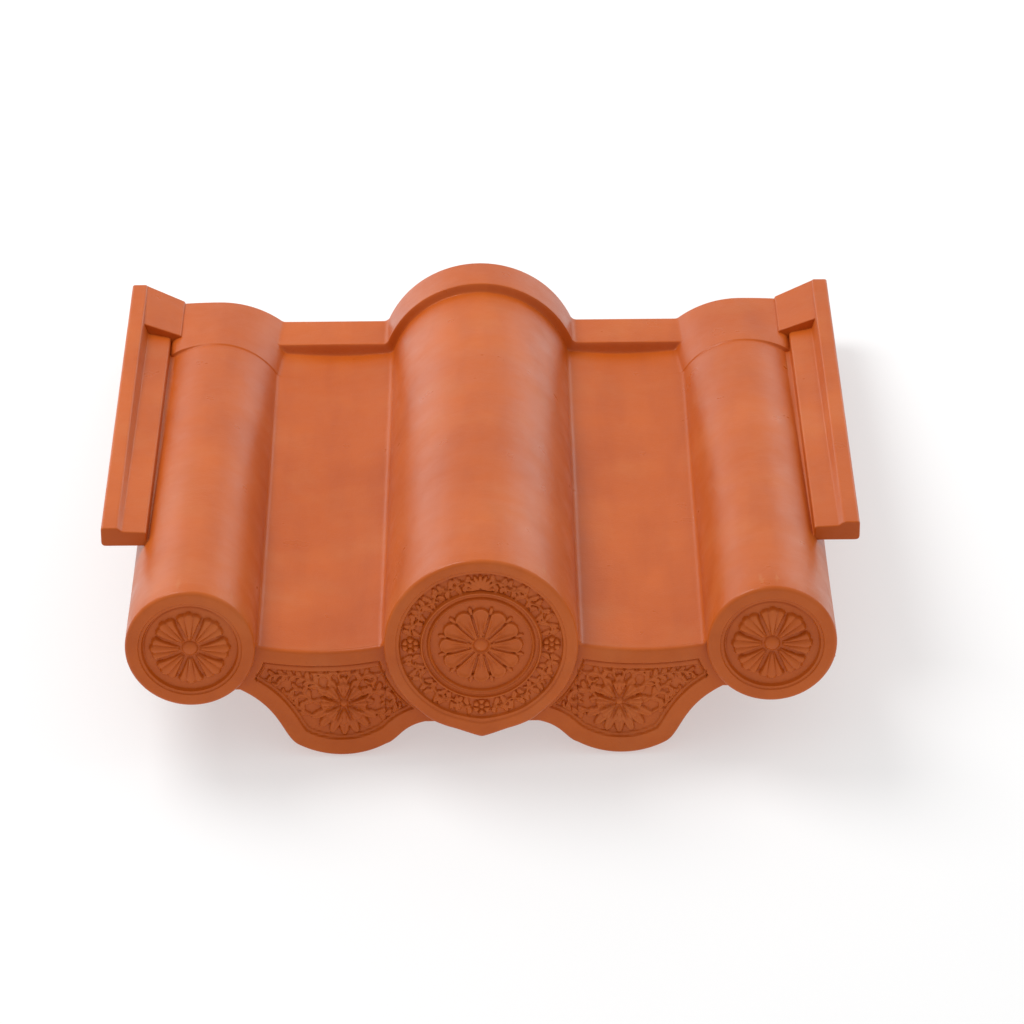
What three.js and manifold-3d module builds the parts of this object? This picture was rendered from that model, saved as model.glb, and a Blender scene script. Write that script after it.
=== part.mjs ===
// A pressed clay eaves tile with three rolls, two pans and a moulded front plate.
// Units are millimetres. The tile is drawn flat, with X across it, Y from the eaves
// to the head and Z up from the pans, and is then tipped back until it stands on its
// two pendants and on the lower edge of its head, with Z up and the floor at Z = 0.

import * as THREE from 'three';
import { mergeVertices } from 'three/addons/utils/BufferGeometryUtils.js';
import Module from 'manifold-3d';

const wasm = await Module();
wasm.setup();

// Overall sizes
const LENGTH = 425;             // from the pans' front edge to the head's end
const WALL = 12;                // thickness of the fired clay
const PAN_WIDTH = 66;           // flat width of each pan
const PAN_SAG = 3;              // hollow of a pan at the eaves
const HEAD_SAG = 1.5;           // hollow of a pan at the head
const COVE = 4.5;               // hollow round where a pan meets a roll

// Rolls: half widths at the pans' level and crest heights above it
const CENTRE_HALF = 56.2;
const CENTRE_EAVES_CREST = 61;
const CENTRE_HEAD_CREST = 41;
const SIDE_HALF = 37.5;
const SIDE_HEAD_HALF = 39.5;
const SIDE_EAVES_CREST = 42;
const SIDE_HEAD_CREST = 19.5;

// Raised band across the head, and the lapped head of the side rolls
const BAND_DEPTH = 36;
const BAND_RISE = 5.5;
const LAP_DEPTH = 70;
const LAP_RISE = 0.7;
const LAP_HEAD_HALF = 46.5;
const LAP_HEAD_CREST = 20;

// Side flanges with their outer ribs
const FLANGE_START = 88;        // flange's front end, behind the pans' front edge
const FLANGE_OVERHANG = 19;     // from the side roll's foot to the rib's outer face
const FLANGE_THICK = 9.5;
const LEDGE_EAVES_LEVEL = 30.5;
const LEDGE_HEAD_LEVEL = 20;
const LEDGE_INSET = 8;          // from the side roll's foot in to the ledge's inner edge
const GROOVE_DEPTH = 6;
const RIB_LEVEL = 33;
const RIB_WIDTH = 9.5;
const RIB_CHAMFER = 2;
const SLOPE_DEPTH = 53;         // length of the sloping head between roll and rib
const SLOPE_WIDTH = 22;

// Front plate and its two pendants
const PLATE = 12;               // thickness of the front plate
const PENDANT_DROP = 72.8;      // from the pans' level down to a pendant's lowest point
const NOTCH_DROP = 51;          // to the notch beside the central point
const OUTER_DROP = 28.5;        // to where the scalloped edge meets a side disc
const PENDANT_ARC_RADIUS = 51;
const RIM_WIDTH = 10.5;
const BAND_WIDTH = 9.5;         // plain band under the pan's front edge
const PANEL_DEPTH = 3;

// Discs that close the rolls
const DISC_PROUD = 9;           // how far the discs stand in front of the plate
const DISC_BACKING = 6;
const DISC_ROUND = 2.5;
const FIELD_DEPTH = 3;
const SIDE_FIELD_RADIUS = 28;
const CENTRE_FIELD_RADIUS = 47.8;
const OUTER_RING_RADIUS = 33.8;
const INNER_RING_RADIUS = 29.3;
const RING_WIDTH = 1.8;
const RING_RISE = 2;
const POINT_DROP = 5;           // how far the central point hangs below the round

// Relief
const SIDE_PETALS = 8;
const CENTRE_PETALS = 12;
const SIDE_ROSETTE_RADIUS = 23.5;
const CENTRE_ROSETTE_RADIUS = 24.5;
const PETAL_RISE = 2.4;
const BOSS_RADIUS = 4.7;
const BOSS_RISE = 3;
const LEAVES = 24;
const LEAF_LENGTH = 11;
const LEAF_WIDTH = 5;
const LEAF_RISE = 2.2;
const SPRAY_RISE = 2.4;
const SPRAY_PETAL_LENGTH = 13;
const SPRAY_PETAL_WIDTH = 5.5;

// Facets
const ARC_STEPS = 12;           // steps in a quarter of a roll
const COVE_STEPS = 3;
const PAN_STEPS = 6;
const ROUND_STEPS = 40;         // steps round a disc
const LOBE_STEPS = 6;           // steps round a petal or leaf
const LOBE_RINGS = 4;
const LENGTH_STEPS = 4;         // stations along the tile
const CURVE_STEPS = 6;          // steps in one curve of the scalloped edge
const SUNK = 0.8;               // how deep a raised form is set into its ground

const CLAY_COLOUR = 0xc4673d;
const CLAY_ROUGHNESS = 0.55;

// Fits that follow from the sizes above
const PAN_START = CENTRE_HALF + COVE;
const PAN_END = PAN_START + PAN_WIDTH;
const SIDE_AXIS = PAN_END + COVE + SIDE_HALF;
const SIDE_FOOT = SIDE_AXIS + SIDE_HALF;
const HALF_WIDTH = SIDE_FOOT + FLANGE_OVERHANG;

// Basic helpers

function toSolid(geometry) {
  const plain = geometry.index ? geometry.toNonIndexed() : geometry.clone();
  plain.deleteAttribute('normal');
  plain.deleteAttribute('uv');
  const merged = mergeVertices(plain, 1e-4);
  return new wasm.Manifold(new wasm.Mesh({
    numProp: 3,
    vertProperties: Float32Array.from(merged.attributes.position.array),
    triVerts: Uint32Array.from(merged.index.array),
  }));
}

function toGeometry(solid) {
  const mesh = solid.getMesh();
  const geometry = new THREE.BufferGeometry();
  geometry.setAttribute('position', new THREE.BufferAttribute(mesh.vertProperties, 3));
  geometry.setIndex(new THREE.BufferAttribute(mesh.triVerts, 1));
  geometry.computeVertexNormals();
  return geometry;
}

function joined(solids) {
  return solids.reduce((sum, next) => sum.add(next));
}

function mix(a, b, t) {
  return a + (b - a) * t;
}

// A closed ring of [x, z] points at each station y becomes one closed solid.
// The rings run the same way, with the same number of points.
function loft(givenRings, stations) {
  const clockwise = signedArea(givenRings[0]) < 0;
  const rings = givenRings.map((ring) => (clockwise ? [...ring].reverse() : ring));
  const count = rings[0].length;
  const positions = [];
  rings.forEach((ring, k) => ring.forEach(([x, z]) => positions.push(x, stations[k], z)));
  const index = [];
  for (let k = 0; k < rings.length - 1; k += 1) {
    for (let i = 0; i < count; i += 1) {
      const a = k * count + i;
      const b = k * count + ((i + 1) % count);
      index.push(a, a + count, b, b, a + count, b + count);
    }
  }
  const last = rings.length - 1;
  for (const [a, b, c] of capFaces(rings[0])) index.push(a, b, c);
  for (const [a, b, c] of capFaces(rings[last])) {
    index.push(last * count + a, last * count + c, last * count + b);
  }
  const geometry = new THREE.BufferGeometry();
  geometry.setAttribute('position', new THREE.Float32BufferAttribute(positions, 3));
  geometry.setIndex(index);
  return toSolid(geometry);
}

// The faces that fill a ring, each turned the way the ring runs
function capFaces(ring) {
  const contour = ring.map(([x, z]) => new THREE.Vector2(x, z));
  return THREE.ShapeUtils.triangulateShape(contour, []).map(([a, b, c]) => (
    signedArea([ring[a], ring[b], ring[c]]) > 0 ? [a, b, c] : [a, c, b]));
}

function signedArea(ring) {
  return ring.reduce((sum, [x, z], i) => {
    const [nx, nz] = ring[(i + 1) % ring.length];
    return sum + (x * nz - nx * z) / 2;
  }, 0);
}

// An outline of [x, z] points pushed along Y from one station to the other
function prism(outline, front, back) {
  return loft([outline, outline], [front, back]);
}

function mirrored(solid) {
  return solid.mirror([1, 0, 0]);
}

// Rolls and pans

// The round through a roll's two feet and its crest
function rollRound(half, crest) {
  const radius = (half * half + crest * crest) / (2 * crest);
  return { radius, level: crest - radius };
}

// Half widths, crests and sag at a station, as y runs from the eaves to the head
function sizesAt(y) {
  const t = y / LENGTH;
  return {
    centreCrest: mix(CENTRE_EAVES_CREST, CENTRE_HEAD_CREST, t),
    sideCrest: mix(SIDE_EAVES_CREST, SIDE_HEAD_CREST, t),
    sideHalf: mix(SIDE_HALF, SIDE_HEAD_HALF, t),
    sag: mix(PAN_SAG, HEAD_SAG, t),
  };
}

// Points on a round from one angle to another, measured from its crest towards +X
function arc(axis, { radius, level }, from, to, steps) {
  return Array.from({ length: steps + 1 }, (_, i) => {
    const angle = mix(from, to, i / steps);
    return [axis + radius * Math.sin(angle), level + radius * Math.cos(angle)];
  });
}

function angleAtLevel({ radius, level }, z) {
  return Math.acos(THREE.MathUtils.clamp((z - level) / radius, -1, 1));
}

// The hollow round between a roll's flank and a pan; side is 1 where the pan lies to +X
function cove(flankX, level, side) {
  return Array.from({ length: COVE_STEPS }, (_, i) => {
    const angle = ((i + 1) / COVE_STEPS) * (Math.PI / 2);
    return [
      flankX + side * COVE * (1 - Math.cos(angle)),
      level + COVE * (1 - Math.sin(angle)),
    ];
  });
}

// Upper surface of the right half, from the central crest to the outer foot
function upperHalf(y, rise) {
  const { centreCrest, sideCrest, sideHalf, sag } = sizesAt(y);
  const centre = rollRound(CENTRE_HALF + rise, centreCrest + rise);
  const side = rollRound(sideHalf, sideCrest);
  const coveTop = rise + COVE;
  const centreArc = arc(0, centre, 0, angleAtLevel(centre, coveTop), ARC_STEPS);
  const sideFrom = -angleAtLevel(side, coveTop);
  const sideArc = arc(SIDE_AXIS, side, sideFrom, angleAtLevel(side, 0), 2 * ARC_STEPS);
  const intoPan = cove(centreArc[ARC_STEPS][0], rise, 1);
  const outOfPan = cove(sideArc[0][0], rise, -1).reverse();
  const panFrom = intoPan[COVE_STEPS - 1][0];
  const panTo = outOfPan[0][0];
  const hollow = rise > 0 ? 0 : sag;
  const pan = Array.from({ length: PAN_STEPS - 1 }, (_, i) => {
    const t = (i + 1) / PAN_STEPS;
    return [mix(panFrom, panTo, t), rise - hollow * 4 * t * (1 - t)];
  });
  return [...centreArc, ...intoPan, ...pan, ...outOfPan, ...sideArc];
}

// Lower surface of the right half, from the outer wall back to below the central crest
function lowerHalf(y, lift) {
  const { centreCrest, sideCrest, sideHalf } = sizesAt(y);
  const bottom = lift - WALL;
  const hollow = (axis, half, crest, from, to, steps) => Array.from({ length: steps + 1 }, (_, i) => {
    const angle = mix(from, to, i / steps);
    return [axis + half * Math.sin(angle), bottom + crest * Math.cos(angle)];
  });
  const quarter = Math.PI / 2;
  const steps = ARC_STEPS / 2;
  return [
    [SIDE_AXIS + sideHalf, bottom],
    ...hollow(SIDE_AXIS, sideHalf - WALL, sideCrest, quarter, -quarter, 2 * steps),
    ...hollow(0, CENTRE_HALF - WALL, centreCrest, quarter, 0, steps),
  ];
}

// The closed section of the tile's body at a station
function bodySection(y, rise = 0, lift = 0) {
  const right = [...upperHalf(y, rise), ...lowerHalf(y, lift)];
  const left = right.slice(1, -1).map(([x, z]) => [-x, z]).reverse();
  return [...right, ...left];
}

function stationsBetween(front, back, steps) {
  return Array.from({ length: steps + 1 }, (_, i) => mix(front, back, i / steps));
}

function body() {
  const stations = stationsBetween(0, LENGTH, LENGTH_STEPS);
  return loft(stations.map((y) => bodySection(y)), stations);
}

// The band that stands proud across the pans and the central roll at the head
function headBand() {
  const stations = [LENGTH - BAND_DEPTH, LENGTH];
  const lift = WALL / 2;
  return loft(stations.map((y) => bodySection(y, BAND_RISE, lift)), stations);
}

// The lapped head of a side roll, which flattens towards the head's end
function sideLap() {
  const start = LENGTH - LAP_DEPTH;
  const { sideCrest, sideHalf } = sizesAt(start);
  const section = (half, crest) => {
    const outer = rollRound(half, crest);
    const inner = { radius: outer.radius - WALL / 2, level: outer.level };
    const panEnd = -angleAtLevel(outer, BAND_RISE / 2);
    const flangeEnd = angleAtLevel(outer, LEDGE_HEAD_LEVEL - FLANGE_THICK * 0.8);
    return [
      ...arc(SIDE_AXIS, outer, panEnd, flangeEnd, 2 * ARC_STEPS),
      ...arc(SIDE_AXIS, inner, flangeEnd, panEnd, ARC_STEPS),
    ];
  };
  return loft([
    section(sideHalf + LAP_RISE, sideCrest + LAP_RISE),
    section(LAP_HEAD_HALF, LAP_HEAD_CREST),
  ], [start, LENGTH]);
}

// Flange, rib and sloping head

function flangeSection(y) {
  const t = (y - FLANGE_START) / (LENGTH - FLANGE_START);
  const ledge = mix(LEDGE_EAVES_LEVEL, LEDGE_HEAD_LEVEL, t);
  const inner = SIDE_FOOT - LEDGE_INSET;
  const root = SIDE_AXIS + SIDE_HALF / 2;
  const ribInner = HALF_WIDTH - RIB_WIDTH;
  return [
    [HALF_WIDTH, ledge - FLANGE_THICK],
    [HALF_WIDTH, RIB_LEVEL],
    [ribInner, RIB_LEVEL],
    [ribInner - RIB_CHAMFER, ledge],
    [inner, ledge],
    [inner, ledge - GROOVE_DEPTH],
    [root, ledge - GROOVE_DEPTH],
    [root, ledge - FLANGE_THICK],
  ];
}

function flange() {
  const stations = [FLANGE_START, LENGTH];
  return loft(stations.map(flangeSection), stations);
}

// The head closes the ledge with a slope from the rib down to the side roll's crest
function slopingHead() {
  const top = HALF_WIDTH - RIB_WIDTH;
  const foot = top - SLOPE_WIDTH;
  const root = SIDE_AXIS + SIDE_HALF / 3;
  const low = LEDGE_HEAD_LEVEL - FLANGE_THICK;
  return prism([
    [top + RIB_CHAMFER, low],
    [top + RIB_CHAMFER, RIB_LEVEL],
    [top, RIB_LEVEL],
    [foot, LAP_HEAD_CREST],
    [root, LAP_HEAD_CREST],
    [root, low],
  ], LENGTH - SLOPE_DEPTH, LENGTH);
}

// Front plate

function bezier(points) {
  const vectors = points.map(([x, z]) => new THREE.Vector2(x, z));
  return new THREE.CubicBezierCurve(...vectors).getPoints(CURVE_STEPS).map((p) => [p.x, p.y]);
}

const sideRound = rollRound(SIDE_HALF, SIDE_EAVES_CREST);
const centreRound = rollRound(CENTRE_HALF, CENTRE_EAVES_CREST);

// The scalloped lower edge of one pendant, from the notch out to the side disc.
// Its forms are shares of the span between the two and of the pendant's own drop.
function scallop() {
  const from = CENTRE_HALF * 0.59;
  const to = SIDE_AXIS - SIDE_HALF * 0.74;
  const across = (share) => mix(from, to, share);
  const low = -PENDANT_DROP;
  const centreX = across(0.454);
  const arcLevel = low + PENDANT_ARC_RADIUS;
  const onArc = (x) => [
    x, arcLevel - Math.sqrt(Math.max(PENDANT_ARC_RADIUS ** 2 - (x - centreX) ** 2, 0))];
  const arcStart = across(0.213);
  const arcEnd = across(0.685);
  const inner = bezier([
    [from, -NOTCH_DROP],
    [across(0.13), mix(-NOTCH_DROP, low, 0.14)],
    [across(0.148), mix(-NOTCH_DROP, low, 0.57)],
    onArc(arcStart),
  ]);
  const bottom = stationsBetween(arcStart, arcEnd, CURVE_STEPS).map(onArc);
  const outer = bezier([
    onArc(arcEnd),
    [across(0.778), mix(-OUTER_DROP, low, 0.745)],
    [across(0.769), mix(-OUTER_DROP, low, 0.305)],
    [to, -OUTER_DROP],
  ]);
  return [...inner.slice(0, -1), ...bottom, ...outer.slice(1)];
}

function plate() {
  const right = scallop();
  const top = -WALL / 2;
  const left = right.map(([x, z]) => [-x, z]).reverse();
  return prism([...left, ...right, [SIDE_AXIS, -OUTER_DROP], [SIDE_AXIS, top],
    [-SIDE_AXIS, top], [-SIDE_AXIS, -OUTER_DROP]], 0, PLATE);
}

// The scalloped edge moved in by the rim's width
function rimmed(edge) {
  return edge.map(([x, z], i) => {
    const [ax, az] = edge[Math.max(i - 1, 0)];
    const [bx, bz] = edge[Math.min(i + 1, edge.length - 1)];
    const run = Math.hypot(bx - ax, bz - az);
    return [x - (RIM_WIDTH * (bz - az)) / run, z + (RIM_WIDTH * (bx - ax)) / run];
  });
}

// A drum on a roll's axis, from one station to another
function drum(axis, level, radius, front, back) {
  const profile = [[0, front], [radius, front], [radius, back], [0, back]];
  return turned(profile).translate([axis, 0, level]);
}

// A profile of [radius, y] points turned round the Y axis
function turned(profile) {
  const points = profile.map(([r, y]) => new THREE.Vector2(r, y));
  return toSolid(new THREE.LatheGeometry(points, ROUND_STEPS));
}

// The sunk panel in one pendant, between the medallion and the side disc
function panelHollow() {
  const edge = rimmed(scallop());
  const top = Array.from({ length: PAN_STEPS + 1 }, (_, i) => {
    const t = i / PAN_STEPS;
    return [mix(PAN_END, PAN_START, t), -BAND_WIDTH - PAN_SAG * 4 * t * (1 - t)];
  });
  const inner = [PAN_START - RIM_WIDTH, -BAND_WIDTH];
  const outer = [SIDE_AXIS - SIDE_HALF, -BAND_WIDTH];
  const clearance = PANEL_DEPTH;
  return prism([...edge, outer, ...top, inner], -PANEL_DEPTH, PANEL_DEPTH)
    .subtract(drum(0, centreRound.level, centreRound.radius + clearance, -PLATE, PLATE))
    .subtract(drum(SIDE_AXIS, sideRound.level, sideRound.radius + 2 * clearance, -PLATE, PLATE));
}

// Discs

function rimProfile(radius, fieldRadius, field) {
  const face = -DISC_PROUD;
  const slant = FIELD_DEPTH / 3;
  return [
    ...field,
    [fieldRadius - slant, face + FIELD_DEPTH],
    [fieldRadius, face],
    [radius - DISC_ROUND, face],
    [radius - DISC_ROUND * 0.3, face + DISC_ROUND * 0.3],
    [radius, face + DISC_ROUND],
    [radius, DISC_BACKING],
    [0, DISC_BACKING],
  ];
}

function ringProfile(radius) {
  const floor = FIELD_DEPTH - DISC_PROUD;
  return [
    [radius - RING_WIDTH / 2, floor],
    [radius - RING_WIDTH / 4, floor - RING_RISE],
    [radius + RING_WIDTH / 4, floor - RING_RISE],
    [radius + RING_WIDTH / 2, floor],
  ];
}

// The pointed lobe under the central disc
function centrePoint() {
  const { radius, level } = centreRound;
  const tip = [0, level - radius - POINT_DROP];
  const start = [radius * Math.SQRT1_2, level - radius * Math.SQRT1_2];
  const bend = radius * 0.18;
  const right = bezier([
    start,
    [start[0] - bend, start[1] - bend],
    [radius * 0.25, mix(start[1], tip[1], 0.9)],
    tip,
  ]);
  const left = right.slice(0, -1).map(([x, z]) => [-x, z]).reverse();
  const inner = arc(0, { radius: (radius + CENTRE_FIELD_RADIUS) / 2, level },
    Math.PI * 1.25, Math.PI * 0.75, CURVE_STEPS * 2);
  return prism([...right, ...left, ...inner], -DISC_PROUD, DISC_BACKING);
}

// Relief

// A low rounded form, long in the direction of turn, set into the ground at station y
function lobe(length, width, rise, turn, x, z, y) {
  const geometry = new THREE.SphereGeometry(1, LOBE_STEPS, LOBE_RINGS);
  geometry.scale(width / 2, rise, length / 2);
  geometry.rotateY(turn);
  return toSolid(geometry).translate([x, y + SUNK * 0.5, z]);
}

// Petals in a ring round a boss, one of them upright
function rosette(axis, level, radius, count, y) {
  const inner = BOSS_RADIUS * 0.8;
  const middle = (inner + radius) / 2;
  const width = (2 * Math.PI * middle) / count;
  const petals = Array.from({ length: count }, (_, i) => {
    const turn = (i / count) * 2 * Math.PI;
    return lobe(radius - inner, width, PETAL_RISE, turn,
      axis + middle * Math.sin(turn), level + middle * Math.cos(turn), y);
  });
  const boss = lobe(2 * BOSS_RADIUS, 2 * BOSS_RADIUS, BOSS_RISE, 0, axis, level, y);
  return [...petals, boss];
}

// The leaf border of the central disc, with each leaf turned off the radius in pairs
function leafBorder(level, y) {
  const middle = (OUTER_RING_RADIUS + CENTRE_FIELD_RADIUS) / 2;
  return Array.from({ length: LEAVES }, (_, i) => {
    const around = ((i + 0.5) / LEAVES) * 2 * Math.PI;
    const lean = i % 2 === 0 ? 0.75 : -0.75;
    return lobe(LEAF_LENGTH, LEAF_WIDTH, LEAF_RISE, around + lean,
      middle * Math.sin(around), level + middle * Math.cos(around), y);
  });
}

// The flower and its scrolling leaves in one pendant
function spray() {
  const x = mix(CENTRE_HALF, SIDE_AXIS - SIDE_HALF, 0.33);
  const z = -PENDANT_DROP * 0.53;
  const floor = PANEL_DEPTH;
  const reach = SPRAY_PETAL_LENGTH * 0.62;
  const petals = Array.from({ length: 8 }, (_, i) => {
    const turn = (i / 8) * 2 * Math.PI;
    return lobe(SPRAY_PETAL_LENGTH, SPRAY_PETAL_WIDTH, SPRAY_RISE, turn,
      x + reach * Math.sin(turn), z + reach * Math.cos(turn), floor);
  });
  const leafAt = (across, up, turn, share) => lobe(SPRAY_PETAL_LENGTH * share,
    SPRAY_PETAL_WIDTH, SPRAY_RISE, turn, x + across, z + up, floor);
  const step = SPRAY_PETAL_LENGTH;
  return [
    ...petals,
    leafAt(step * 1.7, step * 0.9, 1.3, 1),
    leafAt(step * 1.9, step * 1.6, 2.2, 1),
    leafAt(step * 2.6, step * 1.4, 1.2, 1),
    leafAt(step * 3.1, step * 1.9, 2.0, 0.9),
    leafAt(-step * 1.3, step * 1.5, -0.9, 0.9),
    leafAt(-step * 1.6, step * 0.5, -2.2, 0.9),
    leafAt(-step * 2.2, step * 0, -2.5, 0.8),
  ];
}

function frontRelief() {
  const floor = FIELD_DEPTH - DISC_PROUD;
  const side = [
    turned(rimProfile(sideRound.radius, SIDE_FIELD_RADIUS, [[0, floor]]))
      .translate([SIDE_AXIS, 0, sideRound.level]),
    ...rosette(SIDE_AXIS, sideRound.level, SIDE_ROSETTE_RADIUS, SIDE_PETALS, floor),
    ...spray(),
  ];
  const centre = [
    turned(rimProfile(centreRound.radius, CENTRE_FIELD_RADIUS, [
      [0, floor],
      ...ringProfile(INNER_RING_RADIUS),
      ...ringProfile(OUTER_RING_RADIUS),
    ])).translate([0, 0, centreRound.level]),
    centrePoint(),
    ...rosette(0, centreRound.level, CENTRE_ROSETTE_RADIUS, CENTRE_PETALS, floor),
    ...leafBorder(centreRound.level, floor),
  ];
  const right = joined(side);
  return joined([right, mirrored(right), ...centre]);
}

// The whole tile

function tile() {
  const flanges = joined([sideLap(), flange(), slopingHead()]);
  const hollow = panelHollow();
  return joined([body(), headBand(), flanges, mirrored(flanges), plate()])
    .subtract(hollow)
    .subtract(mirrored(hollow))
    .add(frontRelief());
}

// The angle at which the head's lower edge and the pendants both touch the floor
function restTilt() {
  return Math.atan2(PENDANT_DROP - WALL, LENGTH - PLATE);
}

// The solid is tipped to rest, then set with its box's bottom centre at the origin
function atRest(solid) {
  const tipped = solid.rotate([THREE.MathUtils.radToDeg(-restTilt()), 0, 0]);
  const { min, max } = tipped.boundingBox();
  return tipped.translate([-(min[0] + max[0]) / 2, -(min[1] + max[1]) / 2, -min[2]]);
}

const clay = new THREE.MeshStandardMaterial({
  color: CLAY_COLOUR,
  roughness: CLAY_ROUGHNESS,
  metalness: 0,
});

const eavesTile = new THREE.Mesh(toGeometry(atRest(tile())), clay);
eavesTile.name = 'eaves_tile';

const group = new THREE.Group();
group.add(eavesTile);

export default group;
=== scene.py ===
"""A pressed clay eaves tile with three rolls, two pans, side flanges and a moulded front plate.

The tile is one piece of fired clay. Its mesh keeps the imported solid's sizes and place, and adds
the rounded edges and the finer moulded relief. Sizes in the classes are millimetres in the tile's
own frame: X across, Y from the eaves to the head, Z up from the pans. RestPose takes them to
metres on the floor, tipped as the tile rests.
"""

import logging
import math
from dataclasses import dataclass, field
from enum import Enum

import bmesh
import bpy
import numpy as np
from mathutils import Matrix, Vector


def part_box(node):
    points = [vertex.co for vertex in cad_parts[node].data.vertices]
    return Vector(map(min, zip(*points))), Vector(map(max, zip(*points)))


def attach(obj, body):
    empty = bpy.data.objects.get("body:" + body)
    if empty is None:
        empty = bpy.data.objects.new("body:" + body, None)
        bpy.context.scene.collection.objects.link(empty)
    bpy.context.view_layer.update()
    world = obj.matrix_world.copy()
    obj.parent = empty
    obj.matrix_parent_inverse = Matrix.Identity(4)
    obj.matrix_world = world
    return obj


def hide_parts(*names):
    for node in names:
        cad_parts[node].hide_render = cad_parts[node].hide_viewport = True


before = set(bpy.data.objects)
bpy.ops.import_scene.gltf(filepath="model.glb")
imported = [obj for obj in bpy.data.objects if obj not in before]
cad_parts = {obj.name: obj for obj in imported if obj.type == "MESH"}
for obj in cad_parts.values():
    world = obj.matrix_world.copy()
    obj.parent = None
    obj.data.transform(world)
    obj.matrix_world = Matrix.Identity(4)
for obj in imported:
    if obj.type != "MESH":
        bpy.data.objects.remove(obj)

LOG = logging.getLogger("eaves_tile")
NODE = "eaves_tile"
BODY = "root"
MM = 0.001
QUARTER_TURN = math.pi / 2
FULL_TURN = 2 * math.pi
Pair = tuple[float, float]
Triple = tuple[float, float, float]
Socket = bpy.types.NodeSocket
WHITE = (1.0, 1.0, 1.0, 1.0)


class Side(Enum):
    """The two sides of the tile, seen from the front."""

    LEFT = -1.0
    RIGHT = 1.0


def eased(low: float, high: float, values: np.ndarray) -> np.ndarray:
    """Smooth step from 0 to 1.

    Args:
        low: Where the step starts.
        high: Where the step ends.
        values: Positions to test.

    Returns:
        The share, from 0 at low to 1 at high, for each position.
    """
    share = np.clip((np.asarray(values, float) - low) / (high - low), 0.0, 1.0)
    return share * share * (3.0 - 2.0 * share)


def mix(start: float, end: float, share: float) -> float:
    """Return the value at a share of the way from start to end."""
    return start + (end - start) * share


def dome(gap: np.ndarray, radius: float) -> np.ndarray:
    """Return a half round's height share at a distance from its middle, 0 from its radius out."""
    return np.sqrt(np.clip(1 - (gap / radius) ** 2, 0.0, 1.0))


def soft_line(at: np.ndarray, middle: float, width: float) -> np.ndarray:
    """Return the depth share of a soft line, 1 in its middle."""
    return np.exp(-(((at - middle) / width) ** 2))


@dataclass(frozen=True)
class RestPose:
    """How the tile stands: tipped until its two pendants and its head touch the floor."""

    pendant_drop: float = 72.8
    wall: float = 12.0
    length: float = 425.0
    plate: float = 12.0
    head_crest: float = 46.5

    @property
    def tilt(self) -> float:
        """Angle in radians by which the pans slope down towards the head."""
        return math.atan2(self.pendant_drop - self.wall, self.length - self.plate)

    def turned(self, points: np.ndarray) -> np.ndarray:
        """Turn points or directions by the tilt, without the shift.

        Args:
            points: Points or directions, with the coordinates in the last axis.

        Returns:
            The turned points or directions.
        """
        cos, sin = math.cos(self.tilt), math.sin(self.tilt)
        x, y, z = np.moveaxis(np.asarray(points, float), -1, 0)
        return np.stack([x, y * cos + z * sin, -y * sin + z * cos], axis=-1)

    def placed(self, points: np.ndarray) -> np.ndarray:
        """Take tile points to the shared frame.

        Args:
            points: Tile points in millimetres, with the coordinates in the last axis.

        Returns:
            The same points in metres, on the floor.
        """
        low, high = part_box(NODE)
        back = self.turned(np.array([0.0, self.length, self.head_crest]))[1]
        foot = self.turned(np.array([0.0, self.plate, -self.pendant_drop]))[2]
        shift = np.array([0.0, high[1] / MM - back, low[2] / MM - foot])
        return (self.turned(points) + shift) * MM


@dataclass(frozen=True)
class Round:
    """A circle in the cross-section, by its axis, radius and centre level."""

    axis: float
    radius: float
    level: float

    @classmethod
    def through(cls, axis: float, half: float, crest: float) -> "Round":
        """Return the circle through two feet a half width off the axis and a crest."""
        radius = (half * half + crest * crest) / (2.0 * crest)
        return cls(axis, radius, crest - radius)

    def arc(self, start: float, end: float, count: int) -> np.ndarray:
        """Return points from one angle to another, measured from the crest towards +X."""
        angle = np.linspace(start, end, count)
        return np.stack([self.axis + self.radius * np.sin(angle),
                         self.level + self.radius * np.cos(angle)], axis=-1)

    def cove(self, ground: float, size: float) -> Pair:
        """Find the hollow round that touches this circle and level ground.

        Args:
            ground: Level of the ground.
            size: Radius of the hollow round.

        Returns:
            The angle on this circle where the hollow starts, and its centre's distance
            from the axis.
        """
        reach = self.radius + size
        angle = math.acos(max(-1.0, min(1.0, (ground + size - self.level) / reach)))
        return angle, reach * math.sin(angle)


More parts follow.
